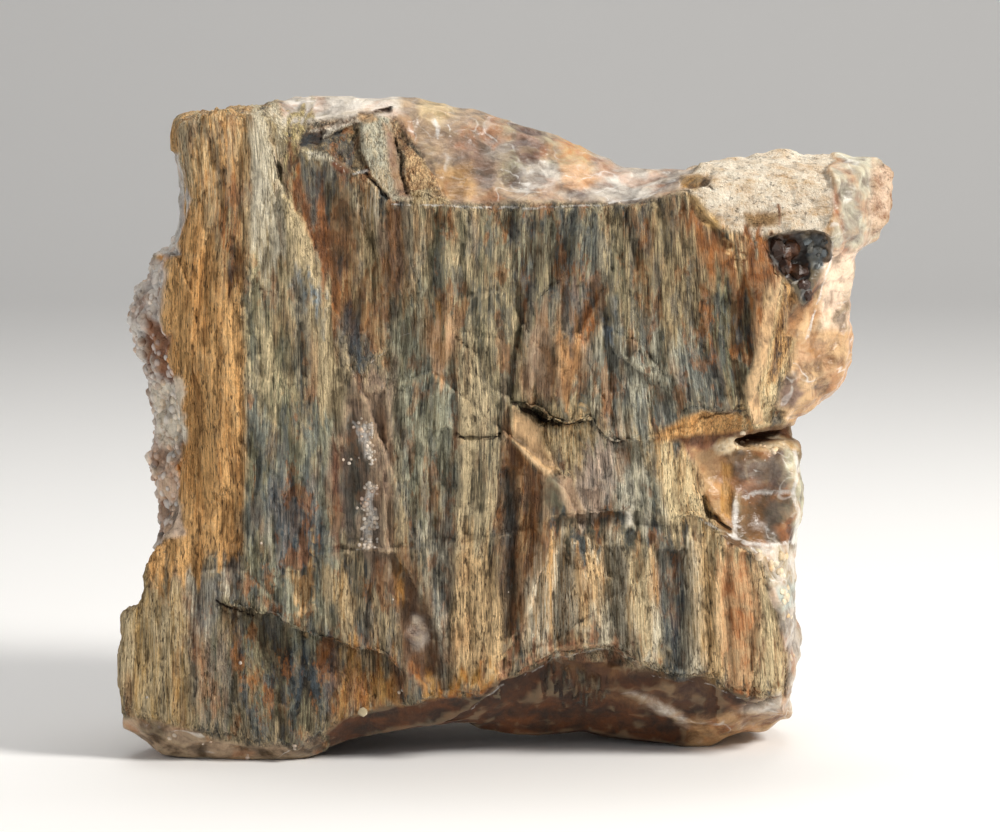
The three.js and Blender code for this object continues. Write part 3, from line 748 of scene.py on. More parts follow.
bpy.ops.object.select_all(action="DESELECT")
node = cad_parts["petrified_wood"]
stone = node.copy()
stone.data = node.data.copy()
stone.name = "stone"
stone.data.name = "stone"
stone.parent = None
stone.matrix_world = node.matrix_world.copy()
bpy.context.collection.objects.link(stone)
stone.select_set(True)
bpy.context.view_layer.objects.active = stone
bpy.ops.object.mode_set(mode="EDIT")
bpy.ops.mesh.select_all(action="SELECT")
bpy.ops.mesh.remove_doubles(threshold=1e-6)
bpy.ops.object.mode_set(mode="OBJECT")
remesh = stone.modifiers.new("skin", "REMESH")
remesh.mode = "VOXEL"
remesh.voxel_size = VOXEL_MM * MM
bpy.ops.object.modifier_apply(modifier=remesh.name)
soften = stone.modifiers.new("worn corners", "SMOOTH")
soften.factor = 0.5
soften.iterations = WORN_ROUNDS
bpy.ops.object.modifier_apply(modifier=soften.name)

top_left = stone.vertex_groups.new(name="top left")
skin_points = to_block([vertex.co for vertex in stone.data.vertices])
near_top = skin_points[:, 0] < ROUNDED_TOP_LEFT_OF_MM
near_top &= skin_points[:, 2] > ROUNDED_TOP_ABOVE_MM
top_left.add(np.nonzero(near_top)[0].tolist(), 1.0, "REPLACE")
soften = stone.modifiers.new("rounded top", "SMOOTH")
soften.factor = 0.5
soften.iterations = ROUNDED_TOP_ROUNDS
soften.vertex_group = top_left.name
bpy.ops.object.modifier_apply(modifier=soften.name)
stone.vertex_groups.clear()
print("skin has", len(stone.data.vertices), "points")

# %% [markdown]
# Carving by numbers is quick when all points are read into one table, moved there and written back.
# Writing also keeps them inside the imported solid's box, so that the dressed stone is never larger.


# %% Reading and moving the points
def read_points(mesh):
    """The mesh's points in block millimetres."""
    flat = np.empty(len(mesh.vertices) * 3, dtype=np.float32)
    mesh.vertices.foreach_get("co", flat)
    return to_block(flat.reshape(-1, 3).astype(float))


def read_normals(mesh):
    """The outward direction at each point."""
    flat = np.empty(len(mesh.vertices) * 3, dtype=np.float32)
    mesh.vertex_normals.foreach_get("vector", flat)
    return flat.reshape(-1, 3).astype(float)


def write_points(mesh, block_mm):
    """Moves the mesh's points to these block millimetres, never past the CAD box."""
    lowest, highest = (np.array(corner) for corner in cad_box)
    metres = np.clip(to_frame(block_mm), lowest, highest)
    mesh.vertices.foreach_set("co", metres.astype(np.float32).ravel())
    mesh.update()


points = read_points(stone.data)
normals = read_normals(stone.data)
marks = paint(points)
grain, gloss, _, rind = marks[:, MAKEUP].T
print("mean grain", grain.mean().round(2), "mean gloss", gloss.mean().round(2))

# %% [markdown]
# Ledges and cracks.
#
# The face split in steps: along a ledge, the surface on one side lies a few millimetres deeper and
# comes back up slowly. Each ledge is a line with the deeper side on its right hand, how deep it is and
# how far the drop reaches. A drop below 0 lies on the left hand. A dent is an outline with a depth, a
# crack is a line with a depth, a width and painted shade, and a vein is a line that is only drawn in
# colour. Some of the vein lines are painted highlights on rims and crests.

# %% Ledges
# name: line, drop in mm, reach in pixels, softness in pixels
LEDGES = {
    "rim": ([(440, 724), (469, 711), (500, 684), (534, 670), (554, 658), (607, 648), (640, 666), (680, 678),
             (704, 676), (731, 692), (752, 706), (790, 694)], 3.0, 24, 3),
    "seam": ([(390, 470), (365, 400), (350, 365), (345, 330), (325, 280), (305, 222), (286, 196),
              (277, 158)], 3.4, 60, 2),
    "upper yellow column": ([(452, 542), (470, 543), (502, 536)], -1.7, 18, 2),
    "vein foot": ([(334, 553), (362, 551), (392, 549)], -1.4, 16, 2),
    "vein side": ([(388, 548), (384, 480), (392, 420), (384, 372)], 1.8, 24, 3),
    "stand of the centre": ([(524, 326), (517, 365), (513, 402)], 2.4, 30, 1.5),
    "chip top": ([(513, 402), (530, 412), (545, 421), (560, 425), (590, 416), (600, 434), (622, 444),
                  (662, 436)], -2.4, 24, 2),
    "peach edge": ([(578, 520), (564, 490), (545, 466), (513, 440)], 2.4, 30, 3),
    "dark step": ([(546, 530), (585, 527), (625, 524), (650, 528), (690, 540)], -1.0, 24, 10),
    "lower middle": ([(525, 655), (560, 642), (582, 622), (604, 606)], -2.2, 18, 2),
    "orange patch": ([(552, 398), (556, 345), (582, 330), (597, 302)], -2.0, 24, 2),
    "chip by the slate": ([(606, 300), (612, 350), (640, 372)], 2.0, 22, 2),
    "slate chunk": ([(596, 386), (604, 404), (608, 428)], -1.8, 18, 2),
    "short ledge": ([(620, 336), (640, 346), (650, 358)], -2.0, 14, 2),
    "rust patch": ([(370, 552), (396, 556), (412, 580), (440, 640)], 1.9, 26, 2.5),
    "column side": ([(243, 560), (243, 400), (244, 250), (241, 150)], -0.9, 22, 3),
    "lower left step": ([(206, 572), (236, 568), (262, 590)], -0.8, 20, 3),
    "right plane": ([(716, 690), (712, 620), (718, 545)], -1.8, 26, 3),
    "fibrous edge": ([(748, 700), (762, 640), (756, 580)], 1.6, 20, 2.5),
    "crack from the top": ([(276, 156), (284, 172), (283, 186)], 1.5, 10, 2),
    "recess of the rust band": ([(546, 560), (530, 610), (508, 650)], -2.2, 22, 3),
    "foot of the columns": ([(455, 688), (500, 672), (560, 648), (604, 640)], -0.8, 12, 2),
    "flake in the left column": ([(178, 262), (196, 300), (190, 380)], -1.0, 20, 2.5),
    "tan ledge": ([(660, 440), (700, 422), (745, 412)], -1.2, 18, 2),
    "upper streak flake": ([(356, 210), (372, 262), (366, 330)], -1.3, 18, 2.5),
    "rust right flake": ([(700, 206), (736, 250), (752, 300), (752, 344)], 1.5, 22, 3),
    "left seam flake": ([(250, 420), (262, 470), (252, 520)], 0.6, 14, 3),
    "centre flake": ([(456, 300), (500, 292), (524, 326)], -1.2, 16, 3),
    "olive flake": ([(398, 384), (430, 372), (456, 392)], -1.2, 16, 2.5),
}
print(len(LEDGES), "ledges")

# %% Dents
# name: outline, depth in mm (raised where below 0), softness in pixels
DENTS = {
    "ridge hole": ([(372, 112), (392, 107), (391, 113), (380, 113)], 2.0, 2),
    "yellow column": ([(457, 335), (498, 340), (498, 540), (500, 700), (452, 690), (456, 500)], -1.9, 4),
    "bright column": ([(574, 556), (602, 552), (604, 604), (582, 622)], -1.9, 4),
    "yellow stripe one": ([(626, 545), (652, 545), (654, 640), (640, 668), (628, 620)], -1.8, 4),
    "slate stripe": ([(656, 552), (688, 552), (692, 668), (662, 670)], 1.7, 4),
    "grey beside the yellow column": ([(426, 430), (450, 430), (452, 640), (432, 640)], 1.6, 4),
    "orange streak": ([(438, 236), (452, 232), (457, 300), (446, 310)], -0.8, 5),
    "brown band": ([(386, 210), (402, 210), (400, 316), (388, 322)], 1.5, 4),
    "cream streak by the seam": ([(284, 190), (300, 214), (316, 285), (300, 298), (288, 250)], -1.4, 4),
    "slate patch": ([(560, 285), (598, 282), (602, 318), (586, 342), (562, 332)], 1.0, 5),
    "brown spot": ([(622, 340), (634, 338), (638, 352), (630, 360), (620, 352)], 1.5, 4),
    "dark facet": ([(322, 136), (358, 126), (362, 150), (372, 170), (352, 168), (334, 158)], 1.6, 5),
    "fibrous facet": ([(406, 143), (438, 184), (434, 196), (414, 196), (405, 160)], -0.8, 4),
    "notch shaped stain": ([(286, 572), (316, 568), (310, 598), (302, 612), (296, 600)], 1.4, 3),
    "rust band": ([(508, 440), (530, 470), (538, 540), (524, 610), (510, 640), (505, 520)], 2.4, 9),
    "pink plane": ([(722, 548), (752, 556), (758, 620), (750, 694), (724, 690)], 1.2, 4),
    "small flake": ([(640, 352), (652, 356), (660, 374), (648, 372)], 1.2, 4),
    "rust patch": ([(396, 600), (434, 620), (438, 680), (410, 676)], 1.0, 8),
    "vein": ([(350, 400), (384, 392), (386, 470), (380, 545), (344, 545), (342, 460)], 2.0, 8),
    "slit of the notch": ([(704, 496), (712, 512), (730, 528), (716, 520), (706, 508)], 2.5, 3),
    "valley left of the bright column": ([(556, 556), (573, 554), (571, 640), (552, 652)], 1.6, 8),
    "valley right of the bright column": ([(607, 548), (625, 548), (628, 664), (610, 666)], 2.2, 9),
    "valley of the slate stripe": ([(657, 550), (688, 552), (691, 672), (661, 674)], 2.4, 10),
    "valley beside the pink plane": ([(722, 552), (730, 556), (736, 690), (727, 692)], 1.4, 7),
    "groove of the rust band": ([(502, 470), (517, 470), (516, 640), (500, 640)], 1.8, 8),
    "groove left of the yellow column": ([(424, 520), (446, 520), (444, 676), (424, 676)], 1.2, 10),
    "groove of the slate column": ([(605, 312), (617, 312), (618, 392), (607, 392)], 1.2, 6),
    "dip of the dark streaks": ([(706, 292), (744, 300), (742, 400), (712, 404)], 1.2, 12),
}
print(len(DENTS), "dents")

# %% Cracks
# name: line, depth in mm, half width in pixels, how dark its painted shade is
CRACKS = {
    "short crack": ([(455, 434), (462, 438), (478, 439), (492, 437), (501, 434)], 2.4, 1.5, 1.0),
    "crack of the centre": ([(522, 330), (519, 352), (516, 372), (513, 400)], 1.2, 0.9, 0.7),
    "chip crevice": ([(514, 404), (530, 412), (545, 421), (560, 425)], 3.0, 2.2, 1.0),
    "chip crevice, thin end": ([(560, 425), (576, 423), (590, 416)], 1.6, 1.0, 0.8),
    "crevice right of it": ([(590, 420), (599, 432), (612, 440), (622, 444)], 1.2, 0.8, 0.5),
    "facet crack": ([(396, 138), (400, 158), (402, 178), (407, 194)], 2.0, 0.9, 0.8),
    "crack in the dark facet": ([(366, 172), (378, 186), (388, 198)], 1.8, 1.0, 0.9),
    "column crack": ([(244, 258), (252, 274), (262, 296), (268, 316)], 0.8, 0.6, 0.6),
    "cross cracks": ([(250, 284), (262, 290), (284, 298)], 0.6, 0.5, 0.5),
    "thin crack": ([(456, 338), (466, 346), (474, 352)], 1.0, 0.8, 0.7),
    "seam start": ([(274, 156), (277, 166), (279, 178)], 1.4, 1.1, 0.8),
    "blade edge": ([(321, 141), (338, 133), (352, 125), (366, 120)], 1.2, 0.8, 0.7),
    "crack with tan": ([(540, 296), (548, 288), (560, 280)], 1.0, 0.8, 0.7),
    "pull apart on the left": ([(214, 604), (224, 612), (240, 618)], 0.8, 0.8, 0.6),
    "upper blade edge": ([(305, 133), (322, 126), (345, 119), (362, 116)], 0.8, 0.6, 0.6),
    "slit of the notch": ([(705, 498), (711, 512), (720, 521), (731, 528)], 1.5, 1.3, 0.9),
    "arc over the tan ledge": ([(682, 412), (694, 407), (704, 408), (713, 412)], 0.6, 0.6, 0.8),
    "rind crack": ([(706, 178), (700, 186), (712, 190)], 1.2, 0.9, 0.7),
    "ledge corner": ([(216, 600), (232, 608), (256, 617)], 1.4, 1.6, 0.9),
    "small hole": ([(516, 386), (514, 394)], 1.4, 1.2, 0.8),
}
print(len(CRACKS), "cracks")


# %% Depth and strength of the marks
def depth_of_marks(column, row):
    """How far ledges, dents and cracks lie below the face, in mm."""
    depth = np.zeros(len(column))
    for line, drop, reach, soft in LEDGES.values():
        away, side = near_line(column, row, line)
        fade = np.exp(-away / reach)
        deep_side = soft_step(-0.35 * soft, 0.35 * soft, away * side)
        depth += 1.3 * drop * fade * (deep_side - 0.35)
    for outline, deep, soft in DENTS.values():
        depth += deep * inside_patch(column, row, outline, soft)
    for line, deep, half_width, _ in CRACKS.values():
        away, _ = near_line(column, row, line)
        depth += deep * soft_step(1.6 * half_width + 1.0, 0.2 * half_width, away)
    return depth


NOT_DRAWN = -4.0


def line_strength(column, row, lines):
    """How strongly each place is drawn on: the line's strength on its middle, 1 less a half width away."""
    strength = np.full(len(column), NOT_DRAWN)
    for line, half_width, on_line in lines:
        away, _ = near_line(column, row, line)
        strength = np.maximum(strength, on_line - away / half_width)
    return strength


crevice = np.array([[514.0], [404.0]])
print("depth at the chip's crevice", depth_of_marks(*crevice).round(1), "mm")

# %% Veins and painted highlights
# name: line, half width in pixels, strength
VEINS_AND_HIGHLIGHTS = {
    "curve in the block": ([(738, 459), (743, 467), (751, 471), (762, 471)], 1.0, 0.9),
    "level vein of the block": ([(743, 498), (758, 491), (772, 492), (792, 494)], 3.0, 0.8),
    "upright vein of the block": ([(737, 502), (736, 520), (735, 538)], 3.4, 0.8),
    "vein beside the window": ([(765, 457), (766, 490)], 1.3, 0.6),
    "right edge of the block": ([(795, 449), (798, 471), (793, 492), (799, 512), (795, 543)], 2.6, 0.8),
    "foot of the block": ([(741, 541), (762, 546), (782, 543), (795, 542)], 2.6, 0.7),
    "rim of the scoop": ([(701, 519), (731, 536), (757, 551), (770, 560)], 1.6, 0.8),
    "highlight of the hollow": ([(432, 119), (438, 128), (437, 137)], 2.4, 0.9),
    "hollow vein": ([(444, 112), (452, 134)], 1.4, 0.6),
    "hollow vein, right": ([(560, 172), (580, 180), (604, 176)], 1.6, 0.6),
    "hollow vein, middle": ([(500, 168), (518, 176), (524, 194)], 1.5, 0.6),
    "vein foot": ([(336, 551), (362, 550), (390, 548)], 0.8, 0.4),
    "pink plane, upper": ([(727, 608), (752, 608)], 0.9, 0.5),
    "pink plane, lower": ([(736, 626), (751, 625)], 0.9, 0.5),
    "right edge": ([(833, 240), (830, 262), (822, 290), (806, 340)], 1.6, 0.7),
    "left wall of the vein": ([(352, 420), (358, 424), (360, 440)], 1.6, 0.9),
    "ring in the vein": (
        [(361, 424), (370, 421), (373, 432), (366, 440), (360, 434), (361, 424)], 1.5, 0.9),
    "druse of the vein, upper": ([(364, 428), (366, 440), (368, 456)], 4.5, 0.9),
    "druse of the vein, lower": (
        [(372, 488), (366, 504), (374, 514), (366, 528), (368, 546)], 5.0, 0.9),
    "healed crack": ([(371, 364), (398, 337), (436, 322)], 1.4, 0.3),
    "fleck at the facet": ([(354, 174), (366, 171)], 2.2, 0.8),
    # The last four lines are painted highlights along crests and rims that catch the light.
    "painted highlight on the crest of the face": (
        [(392, 204), (452, 206), (520, 208), (590, 206), (636, 199), (662, 190)], 1.8, 0.55),
    "painted highlight on the crest of the recess": ([(304, 153), (330, 159), (346, 173)], 1.2, 0.5),
    "painted highlight on the rim of the arch": ([(470, 711), (500, 685), (534, 671), (554, 659), (604, 648)], 1.8, 0.4),
    "painted highlight on the rim on the right": ([(640, 674), (676, 680), (704, 682), (740, 698), (782, 690)], 1.8, 0.3),
}
print(len(VEINS_AND_HIGHLIGHTS), "veins")

# %% [markdown]
# Carving.
#
# Wood gets shallow flutes and finer ridges along its grain, a rough tooth, broken splinters, and flakes
# that lie in low terraces. Agate gets the shallow dishes of chipped glass, and its right rim round lumps.
# The left side's crust gets small round bumps, and the rind a gritty, pitted skin. Points under the
# feet stay where they are, so that the stone still stands on its flats.
#
# Relief that stands out of the face would be cut off flat at the box. So the foremost part of the face
# is set back a little, and less so further behind, where there is room.

# %% Carving
FACE_DEPTH_MM = (34.0, 48.0)
FACE_ALLOWANCE_MM = 1.6
ALLOWANCE_FADE_MM = (15.0, 4.0)
KNOBBLY_RIGHT_OF_MM = (213.0, 224.0)
KNOBBLY_BELOW_MM = (208.0, 196.0)
CRUST_DEPTH_MM = ((10.0, 16.0), (70.0, 58.0))
CRUST_HEIGHT_MM = ((70.0, 78.0), (178.0, 170.0))


def wobbled(block_mm):
    """Pixel positions with a small unevenness, so that no ledge or crack runs straight."""
    column, row = photo_pixels(block_mm)
    sideways = 1.7 * layered(block_mm, (4.0, 4.0, 6.0), 81)
    upwards = 1.7 * layered(block_mm, 5.0, 91)
    return column + sideways, row + upwards


def crust_share(block_mm, out):
    """1 where the chalcedony crust covers the left side, 0 elsewhere."""
    x, y, z = block_mm.T
    share = soft_step(-0.2, -0.6, out[:, 0]) * soft_step(26.0, 18.0, x)
    for (rises, falls), place in ((CRUST_DEPTH_MM, y), (CRUST_HEIGHT_MM, z)):
        share *= soft_step(*rises, place) * soft_step(*falls, place)
    return share


mark_depth = depth_of_marks(*wobbled(points))
print("marks up to", mark_depth.max().round(1), "mm deep")
facing = soft_step(0.15, 0.5, -normals[:, 1]) * soft_step(*FACE_DEPTH_MM[::-1], points[:, 1])

grain_space = np.stack([across_grain(points), points[:, 1], points[:, 2]], axis=1)
flutes = 0.65 * layered(grain_space, (6.5, 6.5, 60.0), 101, layers=2)
ridges = 0.28 * layered(grain_space, (1.9, 2.6, 24.0), 111, layers=2)
tooth = 0.14 * layered(points, (1.7, 1.7, 3.0), 121, layers=2)
splinter_noise = layered(grain_space, (4.5, 8.0, 17.0), 131)
splinters = 0.75 * soft_step(0.12, 0.24, splinter_noise) + 0.6 * soft_step(0.5, 0.62, splinter_noise)
hump_noise = layered(points, (24.0, 20.0, 36.0), 137, layers=2)
levels = 3.0 * layered(grain_space, (9.0, 14.0, 28.0), 241, layers=4, rough=0.55)
flakes = 0.55 * (np.floor(levels) + soft_step(0.8, 1.0, levels - np.floor(levels)))
wood_relief = grain * (flutes + ridges + tooth - splinters + hump_noise + flakes)
print("wood relief", wood_relief.min().round(1), "to", wood_relief.max().round(1), "mm")

# %% Carving agate, crust and rind
warp = np.stack([layered(points, 15.0, seed, layers=2) for seed in (141, 151, 161)], axis=1)
large_dishes = dishes(points + 3.0 * warp, (19.0, 19.0, 16.0), 171)
small_dishes = dishes(points + 1.0 * warp, 6.5, 181)
agate_relief = gloss * (3.1 * (large_dishes - 0.35) + 1.0 * (small_dishes - 0.35))
knobbly = soft_step(*KNOBBLY_RIGHT_OF_MM, points[:, 0]) * soft_step(*KNOBBLY_BELOW_MM, points[:, 2])
lumps = 2.0 * (0.5 - dishes(points + warp, 9.0, 251)) + 0.7 * (0.5 - dishes(points, 4.0, 261))
agate_relief += gloss * knobbly * lumps

crust = crust_share(points, normals)
bumps = 1.5 * (0.5 - dishes(points, 4.2, 191)) + 0.5 * (0.5 - dishes(points, 2.1, 201))

rind_lumps = 1.4 * layered(points, (13.0, 10.0, 7.0), 205, layers=2)
rind_lumps += 0.6 * layered(points, 3.5, 211)
rind_holes = 0.5 * soft_step(0.45, 0.75, layered(points, (4.5, 4.0, 3.0), 221, layers=2))
rind_relief = rind * (rind_lumps - rind_holes)
jasper_relief = 0.25 * layered(points, 5.0, 231)
print("agate relief", agate_relief.min().round(1), "to", agate_relief.max().round(1), "mm")

# %% Moving the points
standing = soft_step(0.4, 4.0, points[:, 2] - BLOCK_ORIGIN_MM[2])
outward = wood_relief + (1.0 - crust) * agate_relief + crust * bumps + rind_relief + jasper_relief
points += normals * (outward * standing)[:, None]
allowance = FACE_ALLOWANCE_MM * soft_step(*ALLOWANCE_FADE_MM, points[:, 1])
points[:, 1] += (mark_depth + allowance) * facing * standing
write_points(stone.data, points)
print("moved by up to", np.abs(outward).max().round(2), "mm")

# %% [markdown]
# Spending the triangles where they show.
#
# The skin has nearly three times as many triangles as are kept. Decimate takes away the edges that
# matter least. It runs once on the back, where the relief is broad, and once on the front, which keeps
# about twice as many.

# %% Thin the skin
BACK_FROM_MM = 48.0
BACK_TRIANGLES = 66000
ALL_TRIANGLES = 196000


def triangle_depths(mesh):
    """How far behind the front face each triangle lies, in block millimetres."""
    flat = np.empty(len(mesh.polygons) * 3, dtype=np.float32)
    mesh.polygons.foreach_get("center", flat)
    return to_block(flat.reshape(-1, 3))[:, 1]


def thin_out(piece, chosen_points, triangles_left):
    """Decimates only where the chosen points are, until so many triangles are left in all."""
    group = piece.vertex_groups.new(name="thin")
    group.add(np.nonzero(chosen_points)[0].tolist(), 1.0, "REPLACE")
    decimate = piece.modifiers.new("thin", "DECIMATE")
    decimate.ratio = triangles_left / len(piece.data.polygons)
    decimate.vertex_group = group.name
    bpy.ops.object.modifier_apply(modifier=decimate.name)
    piece.vertex_groups.clear()


triangulate = stone.modifiers.new("triangles", "TRIANGULATE")
bpy.ops.object.modifier_apply(modifier=triangulate.name)
front_triangles = int((triangle_depths(stone.data) < BACK_FROM_MM).sum())
print("triangles", len(stone.data.polygons), "of them in front", front_triangles)
thin_out(stone, read_points(stone.data)[:, 1] > BACK_FROM_MM, front_triangles + BACK_TRIANGLES)
thin_out(stone, read_points(stone.data)[:, 1] <= BACK_FROM_MM, ALL_TRIANGLES)
write_points(stone.data, read_points(stone.data))
bpy.ops.object.shade_smooth()
print("thinned to", len(stone.data.polygons))

# %% [markdown]
# Colour.
#
# Now the painter runs again, on the final points, and its numbers become attributes of the mesh:
# two colours and a few masks. The material reads them and adds all that is finer than a millimetre.
# The painted shade of the cracks is drawn on the face alone, and veins and painted highlights reach further
# round the sides.

# %% Attributes
VEINS_END_MM = (62.0, 76.0)
OUT_OF_REACH = 5.0

points = read_points(stone.data)
normals = read_normals(stone.data)
marks = paint(points)
spot = wobbled(points)
# Cracks carry painted shade, and the vein lines include painted highlights.
crack_lines = [(line, width, dark) for line, _, width, dark in CRACKS.values()]
cracks = line_strength(*spot, crack_lines) - OUT_OF_REACH * soft_step(*FACE_DEPTH_MM, points[:, 1])
veins = line_strength(*spot, VEINS_AND_HIGHLIGHTS.values()) - OUT_OF_REACH * soft_step(*VEINS_END_MM, points[:, 1])


def store_colour(mesh, name, linear):
    """Keeps a colour for each point."""
    layer = mesh.color_attributes.new(name=name, type="FLOAT_COLOR", domain="POINT")
    flat = np.concatenate([linear, np.ones((len(linear), 1))], axis=1).astype(np.float32)
    layer.data.foreach_set("color", flat.ravel())


def store_number(mesh, name, numbers):
    """Keeps a number for each point."""
    layer = mesh.attributes.new(name=name, type="FLOAT", domain="POINT")
    layer.data.foreach_set("value", np.asarray(numbers, dtype=np.float32))


def wear(mesh, marks, more):
    """Keeps the painter's marks and some more named numbers for each point."""
    store_colour(mesh, "light_stain", marks[:, LIGHT])
    store_colour(mesh, "dark_stain", marks[:, DARK])
    for name, numbers in zip(("dark_share", "grain", "gloss", "pits", "rind"), marks[:, MASKS].T):
        store_number(mesh, name, numbers)
    for name, numbers in more.items():
        store_number(mesh, name, numbers)


wear(stone.data, marks, {"crack": cracks, "vein": veins})
print("attributes:", [layer.name for layer in stone.data.attributes][:12])

# %% [markdown]
# Hollows and edges.
#
# Hollows are painted darker, as shade, and edges that stand out are painted lighter, as highlights. How
# hollow a place is can be read off the mesh: a point that lies below the mean of its neighbours is in a
# hollow. Taken twice, after a few and after many rounds of averaging, it gives narrow and wide hollows.
#
# The averaged depth serves the grain too. Read from the carved surface, the fine streaks would bend
# round every dent. Read from the averaged one, they run straight, as they do in the fossil.


# %% Hollows
def neighbour_mean(mesh, numbers, rounds):
    """Averages each point's numbers with its neighbours', as often as rounds says."""
    ends = np.empty(len(mesh.edges) * 2, dtype=np.int32)
    mesh.edges.foreach_get("vertices", ends)
    first, second = ends.reshape(-1, 2).T
    count = len(mesh.vertices)
    links = np.bincount(first, minlength=count) + np.bincount(second, minlength=count)
    current = numbers
    for _ in range(rounds):
        gathered = np.zeros_like(current)
        for axis in range(current.shape[1]):
            gathered[:, axis] = np.bincount(first, current[second, axis], count)
            gathered[:, axis] += np.bincount(second, current[first, axis], count)
        current = gathered / links[:, None]
    return current


def hollowness(mesh, points, normals, rounds, full_mm):
    """From -1 on edges that stand out to 1 in hollows of full_mm or more."""
    below = ((neighbour_mean(mesh, points, rounds) - points) * normals).sum(axis=1)
    return np.clip(below / full_mm, -1.0, 1.0)


narrow = hollowness(stone.data, points, normals, rounds=3, full_mm=0.22)
wide = hollowness(stone.data, points, normals, rounds=24, full_mm=1.1)
store_number(stone.data, "narrow_hollow", narrow)
store_number(stone.data, "wide_hollow", wide)

flat_points = points.copy()
flat_points[:, 1] = neighbour_mean(stone.data, points[:, 1:2], rounds=40)[:, 0]
store_number(stone.data, "across", across_grain(flat_points))
store_number(stone.data, "depth", flat_points[:, 1])
print("narrow", narrow.std().round(2), "wide", wide.std().round(2))

# %% [markdown]
# Building materials with nodes.
#
# A material is a small machine of nodes. Written out one by one they are hard to read, so short
# helpers add a node with its settings, a piece of arithmetic, a mix or a noise, and hand back its output.


# %% Node helpers
def add(tree, kind, inputs=None, **settings):
    """Adds a node. Its inputs are numbers, colours or the outputs of other nodes."""
    node = tree.nodes.new(kind)
    for name, value in settings.items():
        setattr(node, name, value)
    for name, value in (inputs or {}).items():
        if isinstance(value, bpy.types.NodeSocket):
            tree.links.new(value, node.inputs[name])
        else:
            node.inputs[name].default_value = value
    return node


def maths(tree, operation, first, second=0.0, third=0.0):
    """One sum, product or comparison."""
    return add(tree, "ShaderNodeMath", {0: first, 1: second, 2: third}, operation=operation).outputs[0]


def ramp(tree, value, low, high, out_low=0.0, out_high=1.0):
    """A value's stretch from low to high, turned smoothly into out_low to out_high."""
    inputs = {"Value": value, "From Min": low, "From Max": high, "To Min": out_low, "To Max": out_high}
    return add(tree, "ShaderNodeMapRange", inputs, interpolation_type="SMOOTHSTEP").outputs["Result"]


def mix_colour(tree, share, first, second, blend="MIX"):
    """Two colours mixed by a share."""
    inputs = {"Factor": share, 6: first, 7: second}
    return add(tree, "ShaderNodeMix", inputs, data_type="RGBA", blend_type=blend).outputs[2]


def mix_number(tree, share, first, second):
    """Two numbers mixed by a share."""
    inputs = {"Factor": share, 2: first, 3: second}
    return add(tree, "ShaderNodeMix", inputs, data_type="FLOAT").outputs[0]


def attribute(tree, name, output="Fac"):
    """A number or colour that the mesh carries."""
    return add(tree, "ShaderNodeAttribute", attribute_name=name).outputs[output]


def stretched(tree, place, factors):
    """A place with each axis multiplied by a factor of its own."""
    inputs = {0: place, 1: factors}
    return add(tree, "ShaderNodeVectorMath", inputs, operation="MULTIPLY").outputs[0]


def stretched_noise(tree, place, size_mm, detail=3.0, rough=0.55, twist=0.0):
    """Noise from 0 to 1 with its wavelength in mm along each axis."""
    scaled = stretched(tree, place, [1.0 / size for size in size_mm])
    inputs = {"Vector": scaled, "Scale": 1.0, "Detail": detail, "Roughness": rough, "Distortion": twist}
    return add(tree, "ShaderNodeTexNoise", inputs).outputs["Fac"]


def new_group(name, inputs, outputs):
    """A node group with its sockets. Returns the group, its input node and its output node."""
    group = bpy.data.node_groups.new(name, "ShaderNodeTree")
    for socket_name, kind in inputs:
        group.interface.new_socket(name=socket_name, in_out="INPUT", socket_type=kind)
    for socket_name, kind in outputs:
        group.interface.new_socket(name=socket_name, in_out="OUTPUT", socket_type=kind)
    return group, group.nodes.new("NodeGroupInput"), group.nodes.new("NodeGroupOutput")


NUMBER = "NodeSocketFloat"
VECTOR = "NodeSocketVector"
print("node helpers ready")

# %% [markdown]
# The grain.
#
# Fossil wood keeps the tubes of the living wood, so it is streaked upwards at several sizes at once:
# broad bands, streaks a millimetre wide and hair-fine lines. Where a tube is hollow there is a short
# dark slit, and the broken tubes leave a fine grit all over. Long gaps part the fibres, and thin flakes
# lie over each other like shingles: noise folded into saw teeth gives their edges. The group puts out
# streaks, slits, a shade of grit and gaps, and a height for the bump.

# %% Grain group
grain_group, inside, outside = new_group(
    "wood grain",
    [("Place", VECTOR)],
    [("Streak", NUMBER), ("Slits", NUMBER), ("Shade", NUMBER), ("Height", NUMBER)],
)
place = inside.outputs["Place"]
hair = stretched_noise(grain_group, place, (0.5, 0.8, 9.0), detail=3.0, rough=0.62)
thread = stretched_noise(grain_group, place, (1.3, 2.0, 34.0), detail=4.0, rough=0.6)
band = stretched_noise(grain_group, place, (5.0, 7.0, 44.0), detail=5.0, rough=0.6)
grit = stretched_noise(grain_group, place, (0.45, 0.6, 0.9), detail=4.0, rough=0.7)
slit_noise = stretched_noise(grain_group, place, (0.42, 0.6, 2.4), detail=1.5, rough=0.5)
slit_zone = stretched_noise(grain_group, place, (3.0, 3.0, 11.0), detail=2.0)
streak = maths(grain_group, "MULTIPLY_ADD", hair, 0.34, maths(grain_group, "MULTIPLY", thread, 0.22))
streak = maths(grain_group, "MULTIPLY_ADD", band, 0.44, streak)
slits = maths(
    grain_group, "MULTIPLY",
    ramp(grain_group, slit_noise, 0.58, 0.67),
    ramp(grain_group, slit_zone, 0.4, 0.58),
)
height = maths(grain_group, "MULTIPLY_ADD", hair, 0.5, maths(grain_group, "MULTIPLY", thread, 0.5))
height = maths(grain_group, "MULTIPLY_ADD", grit, 0.9, height)
height = maths(grain_group, "MULTIPLY_ADD", slits, -0.7, height)
flake_noise = stretched_noise(grain_group, place, (2.4, 3.6, 17.0), detail=4.0, rough=0.6)
flake = maths(grain_group, "FRACT", maths(grain_group, "MULTIPLY", flake_noise, 7.0))
height = maths(grain_group, "MULTIPLY_ADD", flake, 0.22, height)
